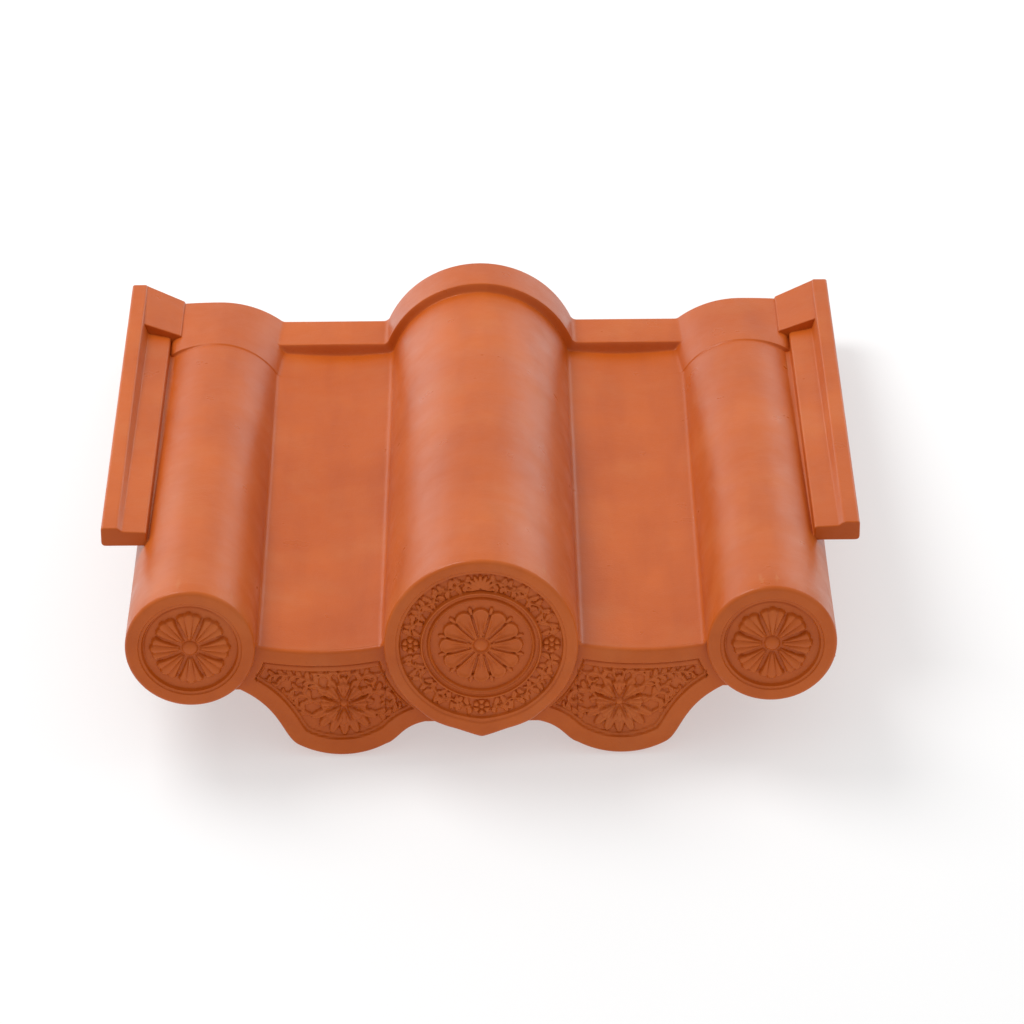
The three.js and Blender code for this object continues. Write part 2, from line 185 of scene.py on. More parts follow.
class Mesher:
    """Turns rings of tile points into closed Blender meshes."""

    def __init__(self, pose: RestPose) -> None:
        """Keep the pose that places every point."""
        self.pose = pose

    def lofted(self, name: str, rings: np.ndarray) -> bpy.types.Object:
        """Join rings into one closed mesh.

        Args:
            name: Name of the new object.
            rings: Tile points, shaped rings by points by 3.

        Returns:
            The new object, in metres in the shared frame.
        """
        rings = np.asarray(rings, float)
        count, width = rings.shape[:2]
        first = np.arange(count - 1)[:, None] * width
        along = np.arange(width)[None, :]
        nxt = (along + 1) % width
        quads = np.stack([first + along, first + nxt, first + nxt + width,
                          first + along + width], axis=-1).reshape(-1, 4)
        faces = quads.tolist()
        faces.append(list(range(width))[::-1])
        faces.append(list(range((count - 1) * width, count * width)))
        mesh = bpy.data.meshes.new(name)
        mesh.from_pydata(self.pose.placed(rings).reshape(-1, 3).tolist(), [], faces)
        sheet = bmesh.new()
        sheet.from_mesh(mesh)
        bmesh.ops.recalc_face_normals(sheet, faces=sheet.faces)
        sheet.to_mesh(mesh)
        sheet.free()
        piece = bpy.data.objects.new(name, mesh)
        bpy.context.scene.collection.objects.link(piece)
        return piece

    @staticmethod
    def thinned(piece: bpy.types.Object, share: float) -> bpy.types.Object:
        """Collapse the flattest edges of a closed mesh.

        Args:
            piece: The object, whose mesh is replaced.
            share: The share of its triangles that is left.

        Returns:
            The same object.
        """
        piece.modifiers.new("thin", "DECIMATE").ratio = share
        dense = piece.data
        graph = bpy.context.evaluated_depsgraph_get()
        piece.data = bpy.data.meshes.new_from_object(piece.evaluated_get(graph))
        piece.modifiers.clear()
        bpy.data.meshes.remove(dense)
        return piece

    @staticmethod
    def fused(name: str, parts: list[bpy.types.Object]) -> bpy.types.Object:
        """Union closed parts into one mesh and remove them.

        Args:
            name: Name of the new object.
            parts: Closed objects, the largest first.

        Returns:
            One object with the outer skin of them all.
        """
        base, *others = parts
        for part in others:
            union = base.modifiers.new(part.name, "BOOLEAN")
            union.operation = "UNION"
            union.solver = "MANIFOLD"
            union.object = part
        graph = bpy.context.evaluated_depsgraph_get()
        mesh = bpy.data.meshes.new_from_object(base.evaluated_get(graph))
        mesh.name = name
        for part in parts:
            bpy.data.objects.remove(part, do_unlink=True)
        piece = bpy.data.objects.new(name, mesh)
        bpy.context.scene.collection.objects.link(piece)
        return piece


def inset(ring: np.ndarray, amount: float) -> np.ndarray:
    """Move a closed ring of [x, z] points inwards.

    Args:
        ring: Points in order round the outline.
        amount: How far each point moves.

    Returns:
        The moved points.
    """
    ahead, behind = np.roll(ring, -1, axis=0), np.roll(ring, 1, axis=0)
    run = ahead - behind
    area = np.sum(ring[:, 0] * ahead[:, 1] - ahead[:, 0] * ring[:, 1])
    normal = np.stack([-run[:, 1], run[:, 0]], axis=-1) * math.copysign(1.0, area)
    return ring + normal * amount / np.linalg.norm(normal, axis=1, keepdims=True)


def softened(corners: list[Pair], radii: list[float], steps: int = 4,
             limit: float = 0.49) -> np.ndarray:
    """Round the corners of an outline.

    Args:
        corners: The outline's [x, z] corners.
        radii: One rounding for each corner.
        steps: Points in each rounding, less one.
        limit: The largest share of a side that a rounding takes.

    Returns:
        The rounded outline's points.
    """
    points = np.asarray(corners, float)
    made = []
    for k, (corner, radius) in enumerate(zip(points, radii)):
        before = points[k - 1] - corner
        after = points[(k + 1) % len(points)] - corner
        start = corner + before * min(radius / np.linalg.norm(before), limit)
        end = corner + after * min(radius / np.linalg.norm(after), limit)
        for share in np.linspace(0.0, 1.0, steps + 1):
            rest = 1 - share
            made.append(rest**2 * start + 2 * share * rest * corner + share**2 * end)
    return np.array(made)


@dataclass(frozen=True)
class Shell:
    """The rolls and pans, with the raised band and the lapped side rolls at the head."""

    length: float = 425.0
    front: float = 2.5
    wall: float = 12.0
    foot_round: float = 2.0
    pan_width: float = 66.0
    eaves_sag: float = 3.0
    head_sag: float = 1.5
    cove: float = 4.5
    centre_half: float = 56.2
    centre_eaves_crest: float = 60.98
    centre_head_crest: float = 41.0
    side_half: float = 37.5
    side_head_half: float = 39.5
    side_eaves_crest: float = 42.0
    side_head_crest: float = 19.5
    band_depth: float = 36.0
    band_rise: float = 5.5
    band_edge: float = 1.3
    lap_depth: float = 70.0
    lap_rise: float = 0.7
    lap_edge: float = 0.8
    lap_head_half: float = 46.5
    lap_head_crest: float = 20.0
    lap_fullness: Pair = (0.15, 0.88)
    lap_growth: float = 0.4
    lap_reach: Pair = (25.0, 36.0)
    head_round: tuple[Pair, ...] = ((1.3, 0.0), (0.55, 0.18), (0.15, 0.6), (0.0, 1.3))
    head_room: float = 4.0
    roll_points: int = 30
    pan_points: int = 14
    cove_points: int = 7
    side_hollow_points: int = 25
    middle_hollow_points: int = 17
    step_rows: int = 9
    row_gap: float = 10.0

    @property
    def side_axis(self) -> float:
        """Distance of a side roll's axis from the tile's centre line."""
        return self.centre_half + self.pan_width + 2 * self.cove + self.side_half

    @property
    def foot(self) -> float:
        """Distance of a side roll's outer foot from the centre line, at the eaves."""
        return self.side_axis + self.side_half

    @property
    def lap_start(self) -> float:
        """Station where the side rolls' lap starts."""
        return self.length - self.lap_depth

    def lap_share(self, y: float) -> float:
        """Return how far a station is along the lap, from 0 to 1."""
        return max(0.0, (y - self.lap_start) / self.lap_depth)

    def lap_step(self, y: float) -> float:
        """Return how much of the small step at the lap's start is climbed at a station."""
        return float(eased(self.lap_start - self.lap_edge, self.lap_start + self.lap_edge, y))

    def rise_at(self, y: float) -> float:
        """Return how far the band stands up at a station."""
        step = self.length - self.band_depth
        return self.band_rise * float(eased(step - self.band_edge, step + self.band_edge, y))

    def centre_round(self, y: float) -> Round:
        """Find the middle roll's outer round.

        Args:
            y: The station.

        Returns:
            The round at that station, with the band's rise.
        """
        rise = self.rise_at(y)
        crest = mix(self.centre_eaves_crest, self.centre_head_crest, y / self.length)
        return Round.through(0.0, self.centre_half + rise, crest + rise)

    def side_sizes(self, y: float) -> Pair:
        """Return a side roll's half width and crest at a station, without the lap."""
        share = y / self.length
        return (mix(self.side_half, self.side_head_half, share),
                mix(self.side_eaves_crest, self.side_head_crest, share))

    def side_rounds(self, y: float) -> tuple[Round, Round]:
        """Find a side roll's outer rounds.

        Args:
            y: The station.

        Returns:
            The round towards the pan and the round towards the flange.
        """
        half, crest = self.side_sizes(y)
        if y < self.lap_start - self.lap_edge:
            both = Round.through(self.side_axis, half, crest)
            return both, both
        step = self.lap_step(y) * self.lap_rise
        from_half, from_crest = self.side_sizes(self.lap_start)
        share = self.lap_share(y)
        lap_crest = mix(from_crest + step, self.lap_head_crest, share)
        lap_half = mix(from_half + step, self.lap_head_half, share)
        return (Round.through(self.side_axis, lap_half, lap_crest),
                Round.through(self.side_axis, half, lap_crest))

    def upper(self, y: float) -> np.ndarray:
        """Trace the upper surface of the right half.

        Args:
            y: The station.

        Returns:
            The [x, z] points from the middle crest to the outer foot.
        """
        rise = self.rise_at(y)
        sag = mix(self.eaves_sag, self.head_sag, y / self.length) * (1 - rise / self.band_rise)
        centre = self.centre_round(y)
        inner, outer = self.side_rounds(y)
        centre_angle, pan_from = centre.cove(rise, self.cove)
        side_angle, side_reach = inner.cove(rise, self.cove)
        pan_to = self.side_axis - side_reach
        turn = np.linspace(centre_angle, 0.0, self.cove_points)[1:]
        into_pan = np.stack([pan_from - self.cove * np.sin(turn),
                             rise + self.cove - self.cove * np.cos(turn)], axis=-1)
        turn = np.linspace(0.0, side_angle, self.cove_points)[:-1]
        out_of_pan = np.stack([pan_to + self.cove * np.sin(turn),
                               rise + self.cove - self.cove * np.cos(turn)], axis=-1)
        share = np.linspace(0.0, 1.0, self.pan_points + 1)[1:-1]
        pan = np.stack([pan_from + (pan_to - pan_from) * share,
                        rise - sag * 4 * share * (1 - share)], axis=-1)
        end = math.acos(max(-1.0, min(1.0, -outer.level / outer.radius)))
        flank = outer.arc(0.0, end, self.roll_points)[1:]
        flank[:, 1] += self.fullness(y, flank) * (outer.level + outer.radius - flank[:, 1])
        return np.concatenate([
            centre.arc(0.0, centre_angle, self.roll_points), into_pan, pan, out_of_pan,
            inner.arc(-side_angle, 0.0, self.roll_points), flank])

    def fullness(self, y: float, flank: np.ndarray) -> np.ndarray:
        """Find how far the lapped roll's outer flank is filled up towards its crest.

        Args:
            y: The station.
            flank: The flank's [x, z] points.

        Returns:
            The share that each point is lifted towards the crest.
        """
        full = mix(*self.lap_fullness, self.lap_share(y) ** self.lap_growth) * self.lap_step(y)
        return full * (1 - eased(*self.lap_reach, flank[:, 0] - self.side_axis))

    def lower(self, y: float) -> np.ndarray:
        """Trace the lower surface of the right half.

        Args:
            y: The station.

        Returns:
            The [x, z] points from the outer wall to below the middle.
        """
        share = y / self.length
        half, crest = self.side_sizes(y)
        middle_crest = mix(self.centre_eaves_crest, self.centre_head_crest, share)
        side = np.linspace(QUARTER_TURN, -QUARTER_TURN, self.side_hollow_points)
        middle = np.linspace(QUARTER_TURN, 0.0, self.middle_hollow_points)
        edge = self.side_axis + half
        soft, cut = self.foot_round, 0.3 * self.foot_round
        return np.concatenate([
            [[edge, -self.wall + soft], [edge - cut, -self.wall + cut], [edge - soft, -self.wall]],
            np.stack([self.side_axis + (half - self.wall) * np.sin(side),
                      -self.wall + crest * np.cos(side)], axis=-1),
            np.stack([(self.centre_half - self.wall) * np.sin(middle),
                      -self.wall + middle_crest * np.cos(middle)], axis=-1)])

    def section(self, y: float) -> np.ndarray:
        """Trace the whole closed section.

        Args:
            y: The station.

        Returns:
            The [x, z] points in order round the section.
        """
        right = np.concatenate([self.upper(y), self.lower(y)])
        left = right[1:-1][::-1] * np.array([-1.0, 1.0])
        return np.concatenate([right, left])

    def stations(self) -> list[float]:
        """List the stations along the tile.

        Returns:
            The stations in order, close together at the two steps.
        """
        rows = set(np.arange(self.front, self.length - self.head_room, self.row_gap))
        for step, reach in ((self.length - self.band_depth, self.band_edge),
                            (self.lap_start, self.lap_edge)):
            rows = {row for row in rows if abs(row - step) > 2 * reach}
            rows |= set(step + np.linspace(-1.0, 1.0, self.step_rows) * reach)
        return sorted(float(row) for row in rows)

    def build(self, mesher: Mesher) -> bpy.types.Object:
        """Build the shell with a rounded head.

        Args:
            mesher: The maker of closed meshes.

        Returns:
            One closed object.
        """
        stations = self.stations()
        rings = [np.insert(self.section(y), 1, y, axis=1) for y in stations]
        end = self.section(self.length)
        for back, amount in self.head_round:
            rings.append(np.insert(inset(end, amount), 1, self.length - back, axis=1))
        return mesher.lofted("shell", np.array(rings))


@dataclass(frozen=True)
class Flange:
    """The side flange with its ledge, groove and rib, and the slope that closes it."""

    shell: Shell
    start: float = 88.0
    overhang: float = 19.0
    thick: float = 9.5
    ledge_eaves: float = 30.2
    ledge_head: float = 20.0
    ledge_inset: float = 8.0
    groove: float = 6.0
    rib_level: float = 33.0
    rib_width: float = 9.5
    rib_slant: float = 3.2
    ledge_lean: Pair = (0.3, 1.8)
    slope_depth: float = 53.0
    slope_foot: float = 191.7
    slope_front: Pair = (30.6, 21.6)
    slope_head: Pair = (32.2, 20.6)
    slope_overlap: float = 4.0
    slope_sunk: float = 1.2
    slope_lift: float = 0.2
    slope_toe: Triple = (1.5, 4.0, 8.0)
    end_gap: float = 0.3
    edge: float = 1.7
    hidden_edge: float = 1.4
    end_room: float = 20.0
    rows: int = 8
    end_round: tuple[Pair, ...] = ((0.0, 0.9), (0.15, 0.45), (0.45, 0.15), (1.0, 0.0))
    slope_round: tuple[Pair, ...] = ((0.0, 0.7), (0.1, 0.35), (0.35, 0.1), (0.8, 0.0))

    @property
    def outer(self) -> float:
        """Distance of the rib's outer face from the centre line."""
        return self.shell.foot + self.overhang

    def outline(self, y: float) -> np.ndarray:
        """Trace the flange's rounded outline.

        Args:
            y: The station.

        Returns:
            The outline's [x, z] points.
        """
        share = (y - self.start) / (self.shell.length - self.start)
        ledge = mix(self.ledge_eaves, self.ledge_head, share)
        inner = self.shell.foot - self.ledge_inset
        root = self.shell.side_axis + self.shell.side_half / 2
        rib = self.outer - self.rib_width
        soft = self.edge
        lean = mix(*self.ledge_lean, share)
        floor = ledge - self.groove - lean
        return softened(
            [(self.outer, ledge - self.thick), (self.outer, self.rib_level), (rib, self.rib_level),
             (rib - self.rib_slant, ledge + lean), (inner, ledge - lean), (inner, floor),
             (root, floor), (root, ledge - self.thick)],
            [soft * 1.6, soft, soft * 0.7, soft * 0.5, soft] + [self.hidden_edge] * 3)

    def slope_outline(self, share: float) -> np.ndarray:
        """Trace the sloping head's rounded outline.

        Args:
            share: How far the section is from the slope's front to the head.

        Returns:
            The outline's [x, z] points.
        """
        rib = self.outer - self.rib_width
        buried = rib + self.slope_overlap
        root = self.shell.side_axis + self.shell.side_half / 3
        reach = (1 - share) * self.slope_depth / (self.shell.length - self.start)
        low = mix(self.ledge_head, self.ledge_eaves, reach) - self.thick + self.slope_lift
        crest = mix(self.slope_front[0], self.slope_head[0], share)
        foot = mix(self.slope_front[1], self.slope_head[1], share)
        lean = (crest - foot) / (rib - self.slope_foot)
        across, down, deep = self.slope_toe
        return softened(
            [(buried, low), (buried, crest + self.slope_overlap * lean - self.slope_sunk),
             (rib, crest), (self.slope_foot, foot), (self.slope_foot - across, foot - down),
             (root, foot - deep), (root, low)],
            [self.hidden_edge, self.hidden_edge, 0.5, 0.8, 1.0, 1.0, self.hidden_edge])

    def build(self, mesher: Mesher, side: Side) -> list[bpy.types.Object]:
        """Build one side's flange and its sloping head.

        Args:
            mesher: The maker of closed meshes.
            side: The side of the tile.

        Returns:
            Two closed objects.
        """
        flip = np.array([side.value, 1.0, 1.0])
        end = self.shell.length - self.end_gap
        rows = [(self.start + run, amount) for run, amount in self.end_round]
        middle = np.linspace(self.start + self.end_room, end - self.end_room, self.rows)
        rows += [(y, 0.0) for y in middle]
        rows += [(end - run, amount) for run, amount in reversed(self.end_round)]
        rings = [np.insert(inset(self.outline(y), amount), 1, y, axis=1) for y, amount in rows]
        flange = mesher.lofted(f"flange_{side.name.lower()}", np.array(rings) * flip)
        end += self.end_gap / 2
        start = end - self.slope_depth
        rows = [(start + run, amount) for run, amount in self.slope_round]
        rows += [(end - run, amount) for run, amount in reversed(self.slope_round)]
        rings = []
        for y, amount in rows:
            outline = self.slope_outline((y - start) / self.slope_depth)
            rings.append(np.insert(inset(outline, amount), 1, y, axis=1))
        head = mesher.lofted(f"sloping_head_{side.name.lower()}", np.array(rings) * flip)
        return [flange, head]


@dataclass(frozen=True)
class Leaf:
    """One moulded leaf.

    It has a middle, a length, a width, a turn from upright, a height and a curl. The vein is a
    crease along it, the shoulder is how blunt it ends, the swell is how much wider it grows
    towards its tip, and the crown is how flat its top is.
    """

    x: float
    z: float
    length: float
    width: float
    turn: float
    rise: float = 2.2
    curl: float = 0.0
    vein: float = 0.4
    vein_width: float = 0.17
    shoulder: float = 0.6
    swell: float = 0.18
    crown: float = 0.4

    def height(self, x: np.ndarray, z: np.ndarray) -> np.ndarray:
        """Find the leaf's height over its ground.

        Args:
            x: Points across.
            z: Points up.

        Returns:
            The height at each point, 0 off the leaf.
        """
        cos, sin = math.cos(self.turn), math.sin(self.turn)
        across = (x - self.x) * cos - (z - self.z) * sin
        along = (x - self.x) * sin + (z - self.z) * cos
        share = np.clip(along / (self.length / 2), -1.0, 1.0)
        across = across - self.curl * self.width * (1 - share**2)
        half = self.width / 2 * (1 - share**2) ** self.shoulder * (1 + self.swell * share) + 1e-6
        inside = np.clip(1 - (across / half) ** 2, 0.0, 1.0)
        body = inside**self.crown * (np.abs(along) < self.length / 2)
        crease = self.vein * soft_line(across, 0.0, self.vein_width * self.width)
        return self.rise * np.clip(body - crease * inside, 0.0, 1.0)


def fan(at: Pair, reach: float, turns: np.ndarray, length: float, width: float,
        rise: float, vein: float = 0.4) -> list[Leaf]:
    """Lay out leaves that point away from a point.

    Args:
        at: The point.
        reach: Distance from the point to each leaf's middle.
        turns: Each leaf's turn from upright.
        length: Length of a leaf.
        width: Width of a leaf.
        rise: Height of a leaf.
        vein: Depth of the crease, as a share of the height.

    Returns:
        The leaves.
    """
    x, z = at
    return [Leaf(x + reach * math.sin(turn), z + reach * math.cos(turn), length, width, turn, rise,
                 vein=vein) for turn in turns]


def spread(count: int, step: float, middle: float = 0.0) -> np.ndarray:
    """Return turns a step apart, evenly to both sides of a middle one."""
    return middle + (np.arange(count) - (count - 1) / 2) * step


@dataclass(frozen=True)
class Rosette:
    """Petals round a boss: fluted and convex, or spooned with raised edges.

    The gap lies between petals, and the web fills it towards the boss. A fluted petal ends in a
    middle lobe and two side lobes, and a spooned one in a single round tip, all given as shares of
    half a petal's pitch. The bevel is a fluted petal's edge at a rosette of the bevel's radius.
    """

    petals: int
    radius: float
    boss: float
    boss_rise: float
    rise: float
    flutes: int = 0
    x: float = 0.0
    z: float = 0.0
    gap: float = 0.9
    web: float = 0.3
    web_reach: Pair = (0.68, 0.84)
    tip: float = 0.86
    middle_lobe: float = 0.38
    side_lobe: float = 0.46
    side_lobe_back: float = 0.1
    stem: float = 0.72
    flute: float = 0.26
    flute_round: float = 2.2
    bevel: float = 1.5
    bevel_radius: float = 24.0
    crown: float = 0.7
    flank: float = 0.3
    boss_gap: float = 0.3
    boss_slope: float = 0.9
    spoon: float = 0.45
    spoon_edge: float = 0.8
    spoon_floor: float = 2.8
    rib: float = 0.14

    def outline(self, radius: np.ndarray, off: np.ndarray) -> np.ndarray:
        """Measure how far points lie inside their petal, a wedge that ends in round lobes.

        Args:
            radius: Each point's distance from the rosette's middle.
            off: Each point's turn from its petal's middle line.

        Returns:
            The distance to the petal's edge, negative outside it.
        """
        half = math.pi / self.petals
        across = np.abs(radius * np.sin(off))
        wedge = radius * math.sin(half) * np.cos(off) - across * math.cos(half) - self.gap / 2
        pitch = self.radius * half
        if self.flutes:
            lobes = ((0.0, self.middle_lobe * pitch, 0.0),
                     (0.5 * half, self.side_lobe * pitch, self.side_lobe_back * pitch))
        else:
            lobes = ((0.0, self.tip * pitch, 0.0),)
        inside = np.full_like(radius, -self.radius)
        for at, size, short in lobes:
            reach = self.radius - size - short
            gap = np.hypot(radius * np.cos(off) - reach * math.cos(at),
                           across - reach * math.sin(at))
            inside = np.maximum(inside, size - gap)
        stem = self.radius - self.stem * lobes[-1][1] - lobes[-1][2] - radius
        return np.minimum(np.maximum(inside, stem), wedge)

    def fluted(self, depth: np.ndarray, share: np.ndarray) -> np.ndarray:
        """Shape convex petals with flutes along them.

        Args:
            depth: Each point's distance inside its petal.
            share: Each point's place across its petal, from -0.5 to 0.5.

        Returns:
            The height share at each point.
        """
        lobe = (share + 0.5) * self.flutes
        lobe = 2 * (lobe - np.floor(lobe)) - 1
        ridge = 1 - self.flute * np.abs(lobe) ** self.flute_round
        edge = self.bevel * (self.radius / self.bevel_radius)
        return eased(0.0, edge, depth) ** self.crown * ridge * (1 - self.flank * np.abs(share))

    def spooned(self, depth: np.ndarray, share: np.ndarray, reach: np.ndarray) -> np.ndarray:
        """Shape hollow petals with raised edges, and fine ribs towards the boss.

        Args:
            depth: Each point's distance inside its petal.
            share: Each point's place across its petal, from -0.5 to 0.5.
            reach: Each point's distance from the middle as a share of the radius.

        Returns:
            The height share at each point.
        """
        ribs = self.rib * np.cos(share * 6 * math.pi) * (1 - eased(0.45, 0.8, reach))
        hollow = self.spoon * eased(self.spoon_edge, self.spoon_floor, depth)
        return eased(0.0, self.spoon_edge, depth) - hollow + ribs * eased(0.5, 1.5, depth)

    def height(self, x: np.ndarray, z: np.ndarray) -> np.ndarray:
        """Find the rosette's height over its ground.

        Args:
            x: Points across.
            z: Points up.

        Returns:
            The height at each point, 0 off the rosette.
        """
        radius, angle = np.hypot(x - self.x, z - self.z), np.arctan2(x - self.x, z - self.z)
        pitch = 2 * math.pi / self.petals
        off = (angle + pitch / 2) % pitch - pitch / 2
        past_boss = (radius - self.boss - self.boss_gap) * self.boss_slope
        depth = np.minimum(self.outline(radius, off), past_boss)
        share, reach = off / pitch, radius / self.radius
        body = self.fluted(depth, share) if self.flutes else self.spooned(depth, share, reach)
        swell = 0.5 + 0.5 * np.sin(np.clip(reach, 0, 1) * math.pi * 0.8)
        web = self.web * (1 - eased(*self.web_reach, reach))
        petals = self.rise * np.maximum(body, web) * swell
        return np.maximum(petals, self.boss_rise * dome(radius, self.boss))


@dataclass(frozen=True)
class Vine:
    """A moulded stem along a smooth path, with leaves on both sides.

    The leaf is the length of the first one, the pitch is the way from one to the next, and the
    lean is each one's turn off the stem.
    """

    path: tuple[Pair, ...]
    width: float
    leaf: float
    pitch: float
    lean: float
    rise: float = 1.6
    smoothings: int = 3
    leaf_width: float = 0.52
    leaf_rise: float = 0.92
    leaf_curl: float = 0.2
    taper: float = 0.45

    def line(self) -> np.ndarray:
        """Smooth the path by cutting its corners.

        Returns:
            Points close together along the stem.
        """
        points = np.array(self.path, float)
        for _ in range(self.smoothings):
            near = points[:-1] * 0.75 + points[1:] * 0.25
            far = points[:-1] * 0.25 + points[1:] * 0.75
            cut = np.stack([near, far], 1).reshape(-1, 2)
            points = np.concatenate([points[:1], cut, points[-1:]])
        return points

    def leaves(self) -> list[Leaf]:
        """Lay out the leaves that spring from the stem.

        Returns:
            The leaves, smaller towards the stem's tip and on both sides by turns.
        """
        points = self.line()
        run = np.concatenate([[0.0], np.cumsum(np.linalg.norm(np.diff(points, axis=0), axis=1))])
        made = []
        for k, at in enumerate(np.arange(self.pitch, run[-1], self.pitch)):
            x, z = (np.interp(at, run, points[:, axis]) for axis in (0, 1))
            ahead = [np.interp(at + 0.5, run, points[:, axis]) for axis in (0, 1)]
            way = math.atan2(ahead[0] - x, ahead[1] - z)
            long = self.leaf * (1 - self.taper * at / run[-1])
            side = 1.0 if k % 2 == 0 else -1.0
            turn = way + side * self.lean
            made.append(Leaf(x + long * 0.5 * math.sin(turn), z + long * 0.5 * math.cos(turn),
                             long, long * self.leaf_width, turn, self.rise * self.leaf_rise,
                             -self.leaf_curl * side))
        return made

    def height(self, x: np.ndarray, z: np.ndarray) -> np.ndarray:
        """Find the height of the stem and its leaves over their ground.

        Args:
            x: Points across.
            z: Points up.

        Returns:
            The height at each point, 0 off the vine.
        """
        points = self.line()
        gap = np.full(np.shape(x), 1e3)
        for spot in points:
            gap = np.minimum(gap, np.hypot(x - spot[0], z - spot[1]))
        made = self.rise * dome(gap, self.width / 2)
        for leaf in self.leaves():
            made = np.maximum(made, leaf.height(x, z))
        return made


Relief = Leaf | Rosette | Vine


@dataclass(frozen=True)
class Disc:
    """A round that closes a roll, with a rim, a sunk field and moulded relief.

    The ring is the disc's own circle and the tail is the roll's circle just behind it. Each ridge
    has a radius, a width and a height. The lobe and the cusp draw the point below the disc.
    """

    name: str
    axis: float
    ring: Round
    tail: Round
    rim: float
    relief: tuple[Relief, ...]
    proud: float = 9.0
    backing: float = 2.6
    thick: float = 6.0
    soft: float = 2.5
    field_depth: float = 3.0
    line_depth: float = 0.45
    columns: int = 288
    pitch: float = 0.5
    kept: float = 0.42
    point_drop: float = 0.0
    ridges: tuple[Triple, ...] = ()
    beads: int = 0
    bead_ring: float = 7.6
    bead_radius: float = 0.95
    bead_rise: float = 1.9
    hub: float = 0.3
    edge_room: float = 0.1
    edge_rows: int = 7
    tail_lap: float = 0.03
    tail_slope: float = 0.8
    tail_end: float = 0.9
    lobe: float = 0.24
    lobe_turns: Pair = (0.5, 0.75)
    cusp: float = 0.76
    cusp_turn: float = 0.29
    cusp_round: float = 0.02
    cusp_power: float = 1.6
    rim_share: float = 0.96
    inner_step: Pair = (-0.7, 0.1)
    outer_step: Pair = (1.6, 2.2)
    inner_share: float = 0.7
    line_inset: float = 1.3
    line_width: float = 0.6
    line_turn: float = 0.5

    def raised(self, x: np.ndarray, z: np.ndarray) -> np.ndarray:
        """Find the relief's height over the sunk field.

        Args:
            x: Points across, from the disc's middle.
            z: Points up, from the disc's middle.

        Returns:
            The height at each point.
        """
        radius = np.hypot(x, z)
        height = np.zeros_like(radius)
        for form in self.relief:
            height = np.maximum(height, form.height(x, z))
        for at, width, rise in self.ridges:
            band = np.exp(-np.abs((radius - at) / width) ** 3)
            height = np.maximum(height, rise * band) if rise > 0 else height + rise * band
        for k in range(self.beads):
            turn = (k + 0.5) / self.beads * FULL_TURN
            gap = np.hypot(x - self.bead_ring * math.sin(turn), z - self.bead_ring * math.cos(turn))
            height = np.maximum(height, self.bead_rise * dome(gap, self.bead_radius))
        return height

    def depth(self, radius: float) -> float:
        """Find how far the face is sunk, in two small steps at the rim.

        Args:
            radius: The distance from the disc's middle.

        Returns:
            The depth behind the disc's face, without the relief.
        """
        inner = float(eased(self.rim + self.inner_step[0], self.rim + self.inner_step[1], radius))
        outer = float(eased(self.rim + self.outer_step[0], self.rim + self.outer_step[1], radius))
        return self.field_depth * (1 - self.inner_share * inner - (1 - self.inner_share) * outer)

    def line(self, radius: float, angle: np.ndarray) -> np.ndarray:
        """Find the depth of the fine line inside the rim, which fades out below.

        Args:
            radius: The distance from the disc's middle.
            angle: The turns from upright.

        Returns:
            The depth at each turn.
        """
        line = self.line_depth * soft_line(radius, self.rim - self.line_inset, self.line_width)
        return line * eased(-0.2, 0.6, np.cos(angle + self.line_turn))

    def pointed(self, angle: np.ndarray) -> np.ndarray:
        """Find how far the rim reaches past its circle, in a wide lobe and a cusp below.

        Args:
            angle: The turns from upright.

        Returns:
            The extra reach at each turn.
        """
        below = np.abs(angle - math.pi)
        lobe = self.lobe * (1 - eased(*self.lobe_turns, below))
        near = np.clip(1 - np.hypot(below, self.cusp_round) / self.cusp_turn, 0.0, 1.0)
        return self.point_drop * (lobe + self.cusp * near**self.cusp_power)

    def rows(self) -> tuple[list[Pair], int]:
        """List the rings from the middle of the face to behind the disc.

        Returns:
            Each ring's radius and its way back from the face, and how many lie on the face.
        """
        radius, tail = self.ring.radius, self.tail.radius
        face = np.arange(self.hub, radius - self.soft - self.edge_room, self.pitch)
        rows = [(r, 0.0) for r in face]
        for turn in np.linspace(0.0, QUARTER_TURN, self.edge_rows):
            inward = self.soft * (1 - math.sin(turn))
            rows.append((radius - inward, self.soft * (1 - math.cos(turn))))
        back = self.proud + self.backing
        rows += [(radius, self.proud), (tail + self.tail_lap, back),
                 (tail - self.tail_slope, back + self.tail_slope),
                 (tail - self.tail_end, self.proud + self.thick)]
        return rows, len(face)

    def build(self, mesher: Mesher) -> bpy.types.Object:
        """Build the disc.

        Args:
            mesher: The maker of closed meshes.

        Returns:
            One closed object.
        """
        rows, face_rows = self.rows()
        angle = np.linspace(0.0, FULL_TURN, self.columns, endpoint=False)
        extra = self.pointed(angle)
        inner = self.rim * self.rim_share
        rings = []
        for k, (radius, back) in enumerate(rows):
            share = np.clip((radius - inner) / (self.ring.radius - inner), 0.0, 1.0)
            reach = radius + extra * share
            x, z = reach * np.sin(angle), reach * np.cos(angle)
            y = np.full_like(x, back - self.proud)
            if k < face_rows:
                y += self.depth(radius) + self.line(radius, angle)
                if radius < self.rim:
                    y -= self.raised(x, z)
            level = self.tail.level if back > self.proud else self.ring.level
            rings.append(np.stack([x + self.axis, y, z + level], axis=-1))
        return mesher.thinned(mesher.lofted(self.name, np.array(rings)), self.kept)


